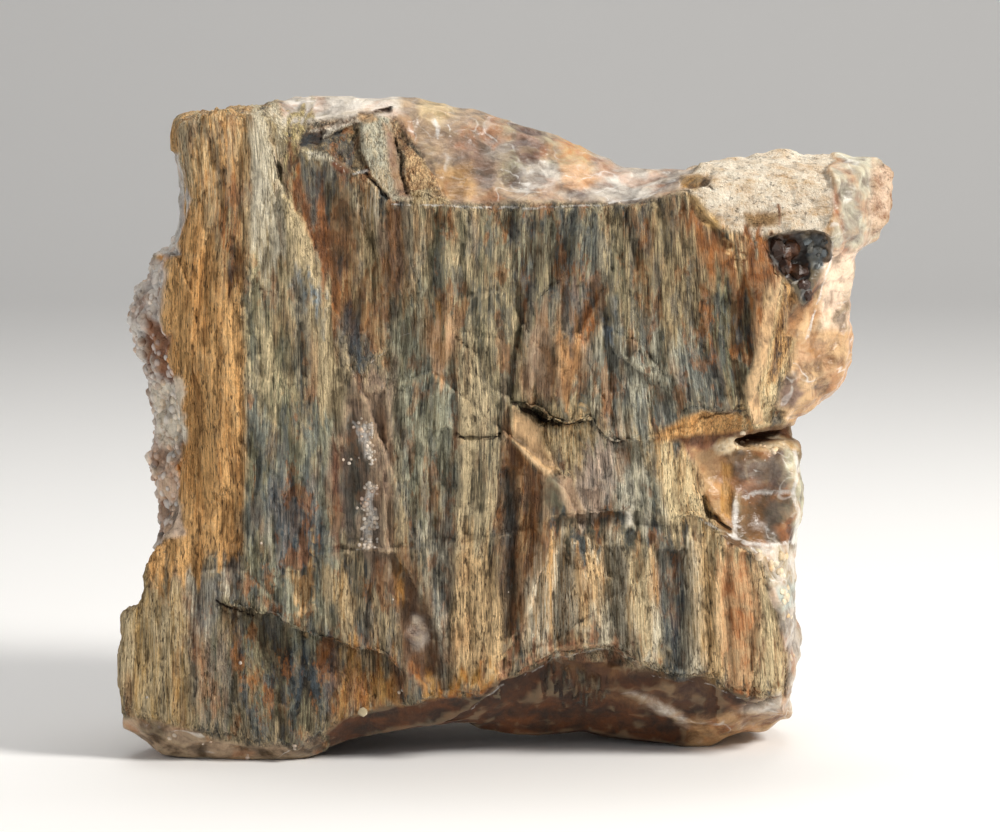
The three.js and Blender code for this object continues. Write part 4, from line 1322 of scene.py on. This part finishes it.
shade = maths(grain_group, "MULTIPLY_ADD", hair, 0.55, maths(grain_group, "MULTIPLY", grit, 0.45))
fibre_noise = stretched_noise(grain_group, place, (1.5, 2.2, 44.0), detail=3.0, rough=0.6)
fibre_away = maths(grain_group, "ABSOLUTE", maths(grain_group, "SUBTRACT", fibre_noise, 0.5))
fibre_gap = ramp(grain_group, fibre_away, 0.03, 0.0)
shade = maths(grain_group, "MULTIPLY_ADD", fibre_gap, -0.2, shade)
height = maths(grain_group, "MULTIPLY_ADD", fibre_gap, -0.45, height)
for name, value in (("Streak", streak), ("Slits", slits), ("Shade", shade), ("Height", height)):
    grain_group.links.new(value, outside.inputs[name])
print("grain group has", len(grain_group.nodes), "nodes")

# %% [markdown]
# Agate and rind.
#
# Agate is cloudy inside, with thin milky veins where cracks healed. The clouds are noise with a twist.
# A vein is a place where another twisted noise passes through its middle value, so the veins come out
# as long curved lines. Amber patches warm it, and wide chips dent its height. The rind is chalky grit,
# which is fine noise with holes that have hard edges.

# %% Agate and rind groups
agate_group, inside, outside = new_group(
    "agate clouds",
    [("Place", VECTOR)],
    [("Cloud", NUMBER), ("Veins", NUMBER), ("Amber", NUMBER), ("Height", NUMBER)],
)
place = inside.outputs["Place"]
cloud = stretched_noise(agate_group, place, (9.0, 9.0, 9.0), detail=5.0, rough=0.62, twist=0.7)
vein_noise = stretched_noise(agate_group, place, (17.0, 17.0, 13.0), detail=2.0, rough=0.45, twist=0.9)
vein_away = maths(agate_group, "ABSOLUTE", maths(agate_group, "SUBTRACT", vein_noise, 0.5))
vein_zone = ramp(agate_group, stretched_noise(agate_group, place, (14.0, 14.0, 14.0)), 0.46, 0.6)
veins = maths(agate_group, "MULTIPLY", ramp(agate_group, vein_away, 0.03, 0.0), vein_zone)
amber = ramp(agate_group, stretched_noise(agate_group, place, (12.0, 12.0, 12.0), twist=0.5), 0.5, 0.68)
ripple = stretched_noise(agate_group, place, (2.4, 2.4, 1.4), detail=2.0, rough=0.5)
chip_inputs = {"Vector": stretched(agate_group, place, (0.16, 0.16, 0.2)), "Scale": 1.0}
chips = add(agate_group, "ShaderNodeTexVoronoi", chip_inputs).outputs["Distance"]
ripple = maths(agate_group, "MULTIPLY_ADD", chips, 2.4, ripple)
for name, value in (("Cloud", cloud), ("Veins", veins), ("Amber", amber), ("Height", ripple)):
    agate_group.links.new(value, outside.inputs[name])

grit_group, inside, outside = new_group(
    "chalky grit", [("Place", VECTOR)], [("Speckle", NUMBER), ("Holes", NUMBER), ("Height", NUMBER)]
)
place = inside.outputs["Place"]
grit = stretched_noise(grit_group, place, (0.9, 0.9, 0.7), detail=4.0, rough=0.7)
blotch = stretched_noise(grit_group, place, (9.0, 9.0, 5.0), detail=5.0, rough=0.68)
holes = ramp(grit_group, stretched_noise(grit_group, place, (1.9, 1.9, 1.2), detail=3.0), 0.6, 0.72)
grit_height = maths(grit_group, "MULTIPLY_ADD", holes, -0.8, grit)
speckle = maths(grit_group, "MULTIPLY_ADD", blotch, 0.7, maths(grit_group, "MULTIPLY", grit, 0.3))
for name, value in (("Speckle", speckle), ("Holes", holes), ("Height", grit_height)):
    grit_group.links.new(value, outside.inputs[name])
print("agate and grit groups ready")

# %% [markdown]
# The stone's material.
#
# The painted attributes choose between the groups at each place. The two stains are mixed by the
# streaks in wood, by the clouds in agate and by the grit in rind.

# %% Stone material
stone_material = bpy.data.materials.new("petrified wood and agate")
stone_material.use_nodes = True
tree = stone_material.node_tree
shader = tree.nodes["Principled BSDF"]

object_place = add(tree, "ShaderNodeTexCoord").outputs["Object"]
place_mm = stretched(tree, object_place, (1.0 / MM,) * 3)
split = add(tree, "ShaderNodeSeparateXYZ", {0: place_mm})
grain_place = add(
    tree, "ShaderNodeCombineXYZ",
    {"X": attribute(tree, "across"), "Y": attribute(tree, "depth"), "Z": split.outputs["Z"]},
).outputs[0]

grain_node = add(tree, "ShaderNodeGroup", {"Place": grain_place}, node_tree=grain_group)
agate_node = add(tree, "ShaderNodeGroup", {"Place": place_mm}, node_tree=agate_group)
grit_node = add(tree, "ShaderNodeGroup", {"Place": place_mm}, node_tree=grit_group)
grain_share = attribute(tree, "grain")
gloss_share = attribute(tree, "gloss")
rind_share = attribute(tree, "rind")
pit_share = attribute(tree, "pits")

pattern = mix_number(tree, grain_share, agate_node.outputs["Cloud"], grain_node.outputs["Streak"])
pattern = mix_number(tree, rind_share, pattern, grit_node.outputs["Speckle"])

threshold = maths(tree, "MULTIPLY_ADD", attribute(tree, "dark_share"), 0.24, 0.38)
over = maths(tree, "SUBTRACT", pattern, threshold)
crispness = maths(tree, "MULTIPLY_ADD", grain_share, 0.45, 0.55)
light_share = ramp(tree, maths(tree, "MULTIPLY", over, crispness), -0.1, 0.1)
stain = mix_colour(
    tree, light_share, attribute(tree, "dark_stain", "Color"), attribute(tree, "light_stain", "Color")
)
print("pattern ready, nodes:", len(tree.nodes))

# %% [markdown]
# Washes of colour.
#
# On the two stains lie thin washes of others, each as thick as a mask says. Iron warms the streaks in
# patches. Slate and rust lie in blotches where the wood is dark, amber clouds and milky veins in agate.
# Slits and holes are dark, and a fine grit shades everything.


# %% Washes
def wash(under, share, name):
    """One stain laid over the colour so far, as thick as the share says."""
    return mix_colour(tree, share, under, (*colour(name), 1.0))


warm_noise = stretched_noise(tree, grain_place, (6.0, 6.0, 26.0), detail=3.0)
warm_share = maths(tree, "MULTIPLY", ramp(tree, warm_noise, 0.52, 0.68, 0.0, 0.34), grain_share)
stain = wash(stain, warm_share, "rust")
slaty = maths(tree, "MULTIPLY", ramp(tree, attribute(tree, "dark_share"), 0.35, 0.6), grain_share)
cool_noise = stretched_noise(tree, grain_place, (5.0, 6.0, 20.0), detail=5.0, rough=0.68)
cool_share = maths(tree, "MULTIPLY", ramp(tree, cool_noise, 0.46, 0.57, 0.0, 0.62), slaty)
stain = wash(stain, cool_share, "dark slate")
rust_noise = stretched_noise(tree, grain_place, (6.5, 7.0, 16.0), detail=5.0, rough=0.68)
rust_share = maths(tree, "MULTIPLY", ramp(tree, rust_noise, 0.52, 0.61, 0.0, 0.7), slaty)
stain = wash(stain, rust_share, "rust")
amber_share = maths(
    tree, "MULTIPLY", maths(tree, "MULTIPLY", agate_node.outputs["Amber"], gloss_share), 0.42
)
stain = wash(stain, amber_share, "copper")
crack_noise = stretched_noise(tree, place_mm, (1.1, 1.1, 1.1), detail=3.0, rough=0.7)
# The vein attribute holds milky veins and painted highlights along crests and rims.
vein_edge = maths(tree, "MULTIPLY_ADD", crack_noise, 0.9, attribute(tree, "vein"))
vein_and_highlight_share = maths(
    tree, "MAXIMUM", ramp(tree, vein_edge, 0.05, 1.1, 0.0, 0.8),
    maths(tree, "MULTIPLY", agate_node.outputs["Veins"], ramp(tree, gloss_share, 0.8, 1.0, 0.0, 0.55)),
)
stain = wash(stain, vein_and_highlight_share, "snow")
slit_share = maths(
    tree, "MULTIPLY", maths(tree, "MULTIPLY", grain_node.outputs["Slits"], pit_share), 0.75
)
hole_share = maths(tree, "MULTIPLY", maths(tree, "MULTIPLY", grit_node.outputs["Holes"], rind_share), 0.3)
dark_spots = maths(tree, "MAXIMUM", slit_share, hole_share)
stain = wash(stain, dark_spots, "peat")
grit_reach = maths(tree, "MULTIPLY_ADD", grain_share, 1.5, 0.6)
grit_shade = maths(
    tree, "MULTIPLY_ADD", maths(tree, "SUBTRACT", grain_node.outputs["Shade"], 0.5), grit_reach, 1.0
)
grit_shade = maths(tree, "MAXIMUM", grit_shade, 0.35)
stain = mix_colour(tree, 1.0, stain, grit_shade, blend="MULTIPLY")
print("washes ready, nodes:", len(tree.nodes))

# %% [markdown]
# Last come painted shade in hollows and cracks and a painted highlight on edges that stand out. Then
# the finish: agate is smoother than wood and has a thin coat, rind is the roughest, and each of the three
# has its bump.

# %% Painted shade, painted highlights and finish
# Painted shade: hollows and cracks are darkened with pitch.
hollow = maths(
    tree, "MAXIMUM",
    ramp(tree, attribute(tree, "narrow_hollow"), 0.25, 1.0, 0.0, 0.3),
    ramp(tree, attribute(tree, "wide_hollow"), 0.15, 1.0, 0.0, 0.4),
)
crack_edge = maths(tree, "MULTIPLY_ADD", crack_noise, 0.9, attribute(tree, "crack"))
painted_hollow_shade = maths(tree, "MAXIMUM", hollow, ramp(tree, crack_edge, 0.35, 0.8, 0.0, 0.94))
stain = wash(stain, painted_hollow_shade, "pitch")
# Painted highlight: edges that stand out are lightened with straw.
edge = ramp(tree, attribute(tree, "narrow_hollow"), -0.3, -1.2, 0.0, 0.16)
stain = wash(stain, edge, "straw")
tree.links.new(stain, shader.inputs["Base Color"])

wood_rough = ramp(tree, grain_node.outputs["Streak"], 0.4, 0.6, 0.72, 0.56)
rough = maths(tree, "MULTIPLY_ADD", gloss_share, -0.28, wood_rough)
rough = maths(tree, "MULTIPLY_ADD", rind_share, 0.16, rough)
tree.links.new(rough, shader.inputs["Roughness"])
coat = maths(tree, "MULTIPLY", gloss_share, 0.17)
tree.links.new(coat, shader.inputs["Coat Weight"])
shader.inputs["Coat Roughness"].default_value = 0.25
shader.inputs["Specular IOR Level"].default_value = 0.28
shader.inputs["IOR"].default_value = 1.54

wood_height = maths(tree, "MULTIPLY", grain_node.outputs["Height"], grain_share)
slit_height = maths(tree, "MULTIPLY", slit_share, -0.6)
grit_bump = maths(tree, "MULTIPLY", grit_node.outputs["Height"], rind_share)
agate_height = maths(
    tree, "MULTIPLY", maths(tree, "MULTIPLY", agate_node.outputs["Height"], gloss_share), 0.5
)
height = maths(tree, "ADD", wood_height, slit_height)
height = maths(tree, "ADD", height, grit_bump)
height = maths(tree, "ADD", height, agate_height)
bump = add(tree, "ShaderNodeBump", {"Height": height, "Strength": 1.0, "Distance": 1.1 * MM})
tree.links.new(bump.outputs["Normal"], shader.inputs["Normal"])

stone.data.materials.clear()
stone.data.materials.append(stone_material)
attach(stone, "root")
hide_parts("petrified_wood")
print("stone material has", len(tree.nodes), "nodes")

# %% [markdown]
# Nodules and crystals.
#
# Chalcedony grows in small round nodules and quartz in pointed crystals. Both stand out of the stone
# more sharply than its carved skin can show, so each kind is a mesh of its own, made of many small
# closed bodies. A ball with few faces and a six-sided prism with a point are modelled once and copied.


# %% Two small shapes
def points_and_faces():
    """Takes the points and faces off the shape just modelled, and puts the shape away."""
    piece = bpy.context.object
    corners = np.array([vertex.co[:] for vertex in piece.data.vertices])
    faces = [list(face.vertices) for face in piece.data.polygons]
    bpy.data.objects.remove(piece)
    return corners, faces


def nodule_shape():
    """A ball of radius 1 with few faces, its pole upwards."""
    bpy.ops.object.select_all(action="DESELECT")
    bpy.ops.mesh.primitive_uv_sphere_add(segments=9, ring_count=6, radius=1.0)
    return points_and_faces()


def crystal_shape():
    """A six-sided crystal with a pointed end: a prism whose upper end is drawn in and pulled up."""
    bpy.ops.object.select_all(action="DESELECT")
    bpy.ops.mesh.primitive_cylinder_add(vertices=6, radius=1.0, depth=1.6, end_fill_type="TRIFAN")
    prism = bpy.context.object
    bpy.ops.object.mode_set(mode="EDIT")
    bpy.ops.mesh.select_all(action="DESELECT")
    bpy.ops.object.mode_set(mode="OBJECT")
    for vertex in prism.data.vertices:
        vertex.select = vertex.co.z > 0.0
    bpy.ops.object.mode_set(mode="EDIT")
    bpy.ops.transform.resize(value=(0.9, 0.9, 1.0))
    bpy.ops.mesh.select_all(action="DESELECT")
    bpy.ops.object.mode_set(mode="OBJECT")
    for vertex in prism.data.vertices:
        vertex.select = vertex.co.z > 0.0 and vertex.co.xy.length < 0.1
    bpy.ops.object.mode_set(mode="EDIT")
    bpy.ops.transform.translate(value=(0.0, 0.0, 0.9))
    bpy.ops.object.mode_set(mode="OBJECT")
    return points_and_faces()


NODULE = nodule_shape()
CRYSTAL = crystal_shape()
print("a nodule has", len(NODULE[1]), "faces, a crystal", len(CRYSTAL[1]))

# %% [markdown]
# Where they sit.
#
# Each body is set into a point of the skin, in the direction out of it, so that it sits on the stone
# from whatever side it is seen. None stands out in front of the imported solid. No two have quite the
# same size, turn and tone, their outlines are a little uneven, and they wear the stone's own material.

# %% Where they sit
FRONT_GAP_MM = 0.05
FRONT_MM = to_block(cad_box[0])[1] + FRONT_GAP_MM
AS_NEAR_PIXELS = 1.5
UNEVEN = 0.22
UNEVEN_EVERY_MM = 0.9
# grain, gloss, pits, graininess
SMALL_BODY = (0.0, 0.8, 0.0, 0.0)

seen_column, seen_row = photo_pixels(points)
turned_here = ((camera_mm - points) * normals).sum(axis=1) > 0.0
print("points turned to the camera:", int(turned_here.sum()))


def seen_at(column, row):
    """The point of the skin that the camera sees at a pixel."""
    away = np.hypot(seen_column - column, seen_row - row)
    away[~turned_here] = np.inf
    near = np.nonzero(away < away.min() + AS_NEAR_PIXELS)[0]
    return near[np.argmin(points[near, 1])]


def set_down(name, shape, hosts, radii_mm, seed, tall=1.0, sunk=0.4, leaning=0.0, stains=None, frost=0.0):
    """One mesh of many small bodies, each standing on its host point of the skin.

    Tall stretches a body outwards, and sunk is how deep its middle lies, in stretched radii. Leaning
    tips it and frost whitens its top, both at random. Stains replace the painter's two colours.
    """
    corners, faces = shape
    chance = np.random.default_rng(seed)
    bodies, all_faces, rise, pale, tones = [], [], [], [], []
    for host, radius in zip(hosts, radii_mm):
        out = normals[host] + leaning * chance.normal(size=3)
        out /= np.linalg.norm(out)
        level = np.cross(out, chance.normal(size=3))
        level /= np.linalg.norm(level)
        axes = np.stack([level, np.cross(out, level), tall * out])
        all_faces += [[index + len(bodies) * len(corners) for index in face] for face in faces]
        body = points[host] + radius * (corners @ axes - sunk * tall * out)
        body[:, 1] += max(FRONT_MM - body[:, 1].min(), 0.0)
        bodies.append(body)
        rise.append(corners[:, 2])
        pale.append(np.full(len(corners), frost * chance.uniform() ** 2))
        rusty = chance.uniform()
        tone = chance.uniform(0.7, 1.2) * np.array([1.0, 1.0 - 0.14 * rusty, 1.0 - 0.28 * rusty])
        tones.append(np.tile(tone, (len(corners), 2)))
    block_mm = np.concatenate(bodies)
    centres = np.repeat([body.mean(axis=0) for body in bodies], len(corners), axis=0)
    block_mm += UNEVEN * value_noise(block_mm / UNEVEN_EVERY_MM, seed)[:, None] * (block_mm - centres)
    rise, pale = np.concatenate(rise), np.concatenate(pale)[:, None]
    mesh = bpy.data.meshes.new(name)
    mesh.from_pydata(to_frame(block_mm).tolist(), [], all_faces)
    write_points(mesh, block_mm)
    marks = paint(block_mm)
    if stains:
        marks[:, BOTH_STAINS] = np.concatenate([colour(stains[0]), colour(stains[1])])
    marks[:, BOTH_STAINS] *= np.concatenate(tones)
    pale_share = pale * soft_step(-0.2, 0.8, rise)[:, None]
    marks[:, BOTH_STAINS] += pale_share * (np.tile(colour("snow"), 2) - marks[:, BOTH_STAINS])
    marks[:, MAKEUP] = SMALL_BODY
    nothing = np.zeros(len(block_mm))
    # Painted shade: the narrow hollow darkens each body's lower part, where it sits in the stone.
    wear(mesh, marks, {
        "crack": nothing + NOT_DRAWN, "vein": nothing + NOT_DRAWN, "wide_hollow": nothing,
        "narrow_hollow": soft_step(0.6, -0.4, rise) - 0.3 * soft_step(0.5, 1.0, rise),
        "across": block_mm[:, 0], "depth": block_mm[:, 1],
    })
    mesh.materials.append(stone_material)
    piece = bpy.data.objects.new(name, mesh)
    bpy.context.collection.objects.link(piece)
    if shape is NODULE:
        mesh.shade_smooth()
    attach(piece, "root")
    print(name, "has", len(hosts), "bodies and", sum(len(face) - 2 for face in all_faces), "triangles")


# %% [markdown]
# The crust on the left side is a carpet of nodules, 2 to 5 mm across. They're dealt out over its skin
# one by one, and a place is taken only when no nodule already lies too near.

# %% Nodules of the crust
CRUST_FROM_SHARE = 0.4
SMALLEST_NODULE_MM = 1.0
NODULE_RANGE_MM = 1.5
CLOSEST = 0.78
CRUST_NODULES = 560

chance = np.random.default_rng(5)
crust_places = np.nonzero(crust_share(points, normals) > CRUST_FROM_SHARE)[0]
chance.shuffle(crust_places)
crust_hosts, crust_radii = [], []
for host in crust_places:
    radius = SMALLEST_NODULE_MM + NODULE_RANGE_MM * chance.uniform() ** 2
    if crust_hosts:
        gaps = np.linalg.norm(points[crust_hosts] - points[host], axis=1)
        if (gaps < CLOSEST * (np.array(crust_radii) + radius)).any():
            continue
    crust_hosts.append(host)
    crust_radii.append(radius)
    if len(crust_hosts) == CRUST_NODULES:
        break
set_down("crust_nodules", NODULE, crust_hosts, crust_radii, 11, tall=0.9, frost=0.8)

# %% [markdown]
# The others stand where the photograph shows them: a druse in the rusty vein, lumps round the notch and
# down the right rim, specks at the feet and on the face, two kinds of crystal in the pocket, and a pale
# disc at the lower left. A cluster is a middle with bodies scattered round it.

# %% Clusters
# name: shape, how tall, (column, row, spread in pixels, how many, radius in mm) of each cluster, stains
CLUSTERS = {
    "vein_druse": (NODULE, 0.8, [
        (364, 428, 6, 34, 0.65), (368, 446, 5, 26, 0.6), (370, 458, 4, 18, 0.6), (371, 488, 4, 26, 0.65),
        (367, 506, 5, 36, 0.7), (370, 524, 5, 40, 0.75), (368, 542, 5, 34, 0.75), (348, 460, 2, 4, 0.5),
    ], ("milk", "dusk")),
    "notch_lumps": (NODULE, 0.6, [
        (742, 446, 4, 4, 1.1), (758, 444, 5, 4, 1.0), (774, 446, 4, 4, 1.1), (746, 435, 3, 3, 0.8),
        (760, 556, 4, 4, 1.3), (774, 566, 4, 5, 1.4), (786, 556, 4, 4, 1.4), (784, 574, 3, 4, 1.2),
        (790, 600, 3, 4, 1.3), (786, 590, 3, 3, 1.2), (792, 616, 2, 3, 1.0), (794, 660, 3, 4, 1.1),
    ], ("bone", "sand")),
    "foot_specks": (NODULE, 0.8, [
        (171, 740, 2, 2, 0.8), (249, 758, 2, 2, 0.7), (295, 748, 3, 3, 0.8), (239, 663, 0, 1, 0.6),
        (148, 698, 0, 1, 0.6), (262, 541, 0, 1, 0.5), (206, 745, 3, 3, 0.7), (400, 690, 2, 2, 0.5),
        (395, 600, 0, 1, 0.5), (510, 592, 0, 1, 0.4),
    ], ("milk", "smoke")),
    "pocket_crystals": (CRYSTAL, 0.9, [
        (813, 246, 4, 5, 1.7), (823, 253, 3, 4, 1.5), (817, 265, 3, 3, 1.4), (824, 244, 2, 2, 1.3),
    ], ("slate", "night slate")),
    "pocket_facets": (CRYSTAL, 0.6, [
        (777, 249, 3, 3, 3.0), (791, 252, 4, 3, 3.0), (801, 268, 4, 3, 2.8), (788, 264, 3, 2, 2.4),
        (806, 284, 3, 3, 2.1), (809, 296, 2, 2, 1.4),
    ], ("plum", "pitch")),
}
for order, (name, (shape, tall, clusters, stains)) in enumerate(CLUSTERS.items()):
    chance = np.random.default_rng(40 + order)
    hosts, radii = [], []
    for column, row, spread, how_many, radius in clusters:
        for _ in range(how_many):
            shift = spread * chance.normal(size=2) * 0.7
            hosts.append(seen_at(column + shift[0], row + shift[1]))
            radii.append(radius * chance.uniform(0.6, 1.25))
    leaning, frost = (0.45, 0.0) if shape is CRYSTAL else (0.1, 0.35)
    set_down(name, shape, hosts, radii, 60 + order, tall, 0.35, leaning, stains, frost)

set_down("pale_disc", NODULE, [seen_at(361, 711)], [1.9], 90, tall=0.25, sunk=0.0, stains=("ash", "lichen"))

# %% [markdown]
# The studio.
#
# The stone stands on a plain pale floor that runs up behind it in a wide curve, as photographers'
# paper does.

# %% Floor and backdrop
FLOOR_HALF_WIDTH = 3.0
FLOOR_FRONT = -2.2
FLOOR_BACK = 1.6
BACKDROP_HEIGHT = 2.6
BEND_RADIUS = 0.8
BEND_STEPS = 12

bend = [math.radians(90.0) * step / BEND_STEPS for step in range(BEND_STEPS + 1)]
profile = [(FLOOR_FRONT, 0.0)]
profile += [
    (FLOOR_BACK + BEND_RADIUS * math.sin(turn), BEND_RADIUS * (1.0 - math.cos(turn))) for turn in bend
]
profile.append((FLOOR_BACK + BEND_RADIUS, BACKDROP_HEIGHT))
corners = [(x, y, z) for y, z in profile for x in (-FLOOR_HALF_WIDTH, FLOOR_HALF_WIDTH)]
strips = [(i * 2, i * 2 + 1, i * 2 + 3, i * 2 + 2) for i in range(len(profile) - 1)]
floor_mesh = bpy.data.meshes.new("floor")
floor_mesh.from_pydata(corners, [], strips)
floor = bpy.data.objects.new("floor", floor_mesh)
bpy.context.collection.objects.link(floor)
floor_mesh.shade_smooth()
floor_material = bpy.data.materials.new("pale paper")
floor_material.use_nodes = True
paper = floor_material.node_tree.nodes["Principled BSDF"].inputs
paper["Base Color"].default_value = (0.9, 0.9, 0.9, 1)
paper["Roughness"].default_value = 0.7
floor_mesh.materials.append(floor_material)
print("floor from y", FLOOR_FRONT, "to", FLOOR_BACK + BEND_RADIUS)

# %% [markdown]
# A light above and to the right picks out the ledges, a top light behind makes the upper edges bright,
# and a weak one at the left front keeps the hollows readable. All three point at the stone's middle.

# %% Lights
# name: place, width, depth, watts, colour
LIGHTS = {
    "key": ((1.2, -0.6, 1.05), 0.42, 0.42, 31.0, (1.0, 0.96, 0.9)),
    "top": ((-0.1, 0.35, 1.25), 1.2, 0.5, 7.5, (1.0, 0.98, 0.94)),
    "left": ((-1.2, -1.2, 0.7), 1.0, 1.0, 4.0, (0.98, 0.98, 1.0)),
}
aim = np.array([0.0, 0.0, 0.12])
for name, (spot, width, depth, watts, tint) in LIGHTS.items():
    away = np.array(spot) - aim
    distance = float(np.linalg.norm(away))
    tip = math.acos(away[2] / distance)
    turn = math.atan2(away[1], away[0]) + math.radians(90.0)
    bpy.ops.object.light_add(type="AREA", location=spot, rotation=(tip, 0.0, turn))
    light = bpy.context.object
    light.name = name
    light.data.shape = "RECTANGLE"
    light.data.size = width
    light.data.size_y = depth
    light.data.energy = watts
    light.data.color = tint

world = bpy.data.worlds.new("studio")
world.use_nodes = True
sky = world.node_tree.nodes["Background"].inputs
sky["Color"].default_value = (0.98, 0.97, 0.96, 1.0)
sky["Strength"].default_value = 0.24
bpy.context.scene.world = world
bpy.context.scene.view_settings.view_transform = "Standard"
print(len(LIGHTS), "lights")
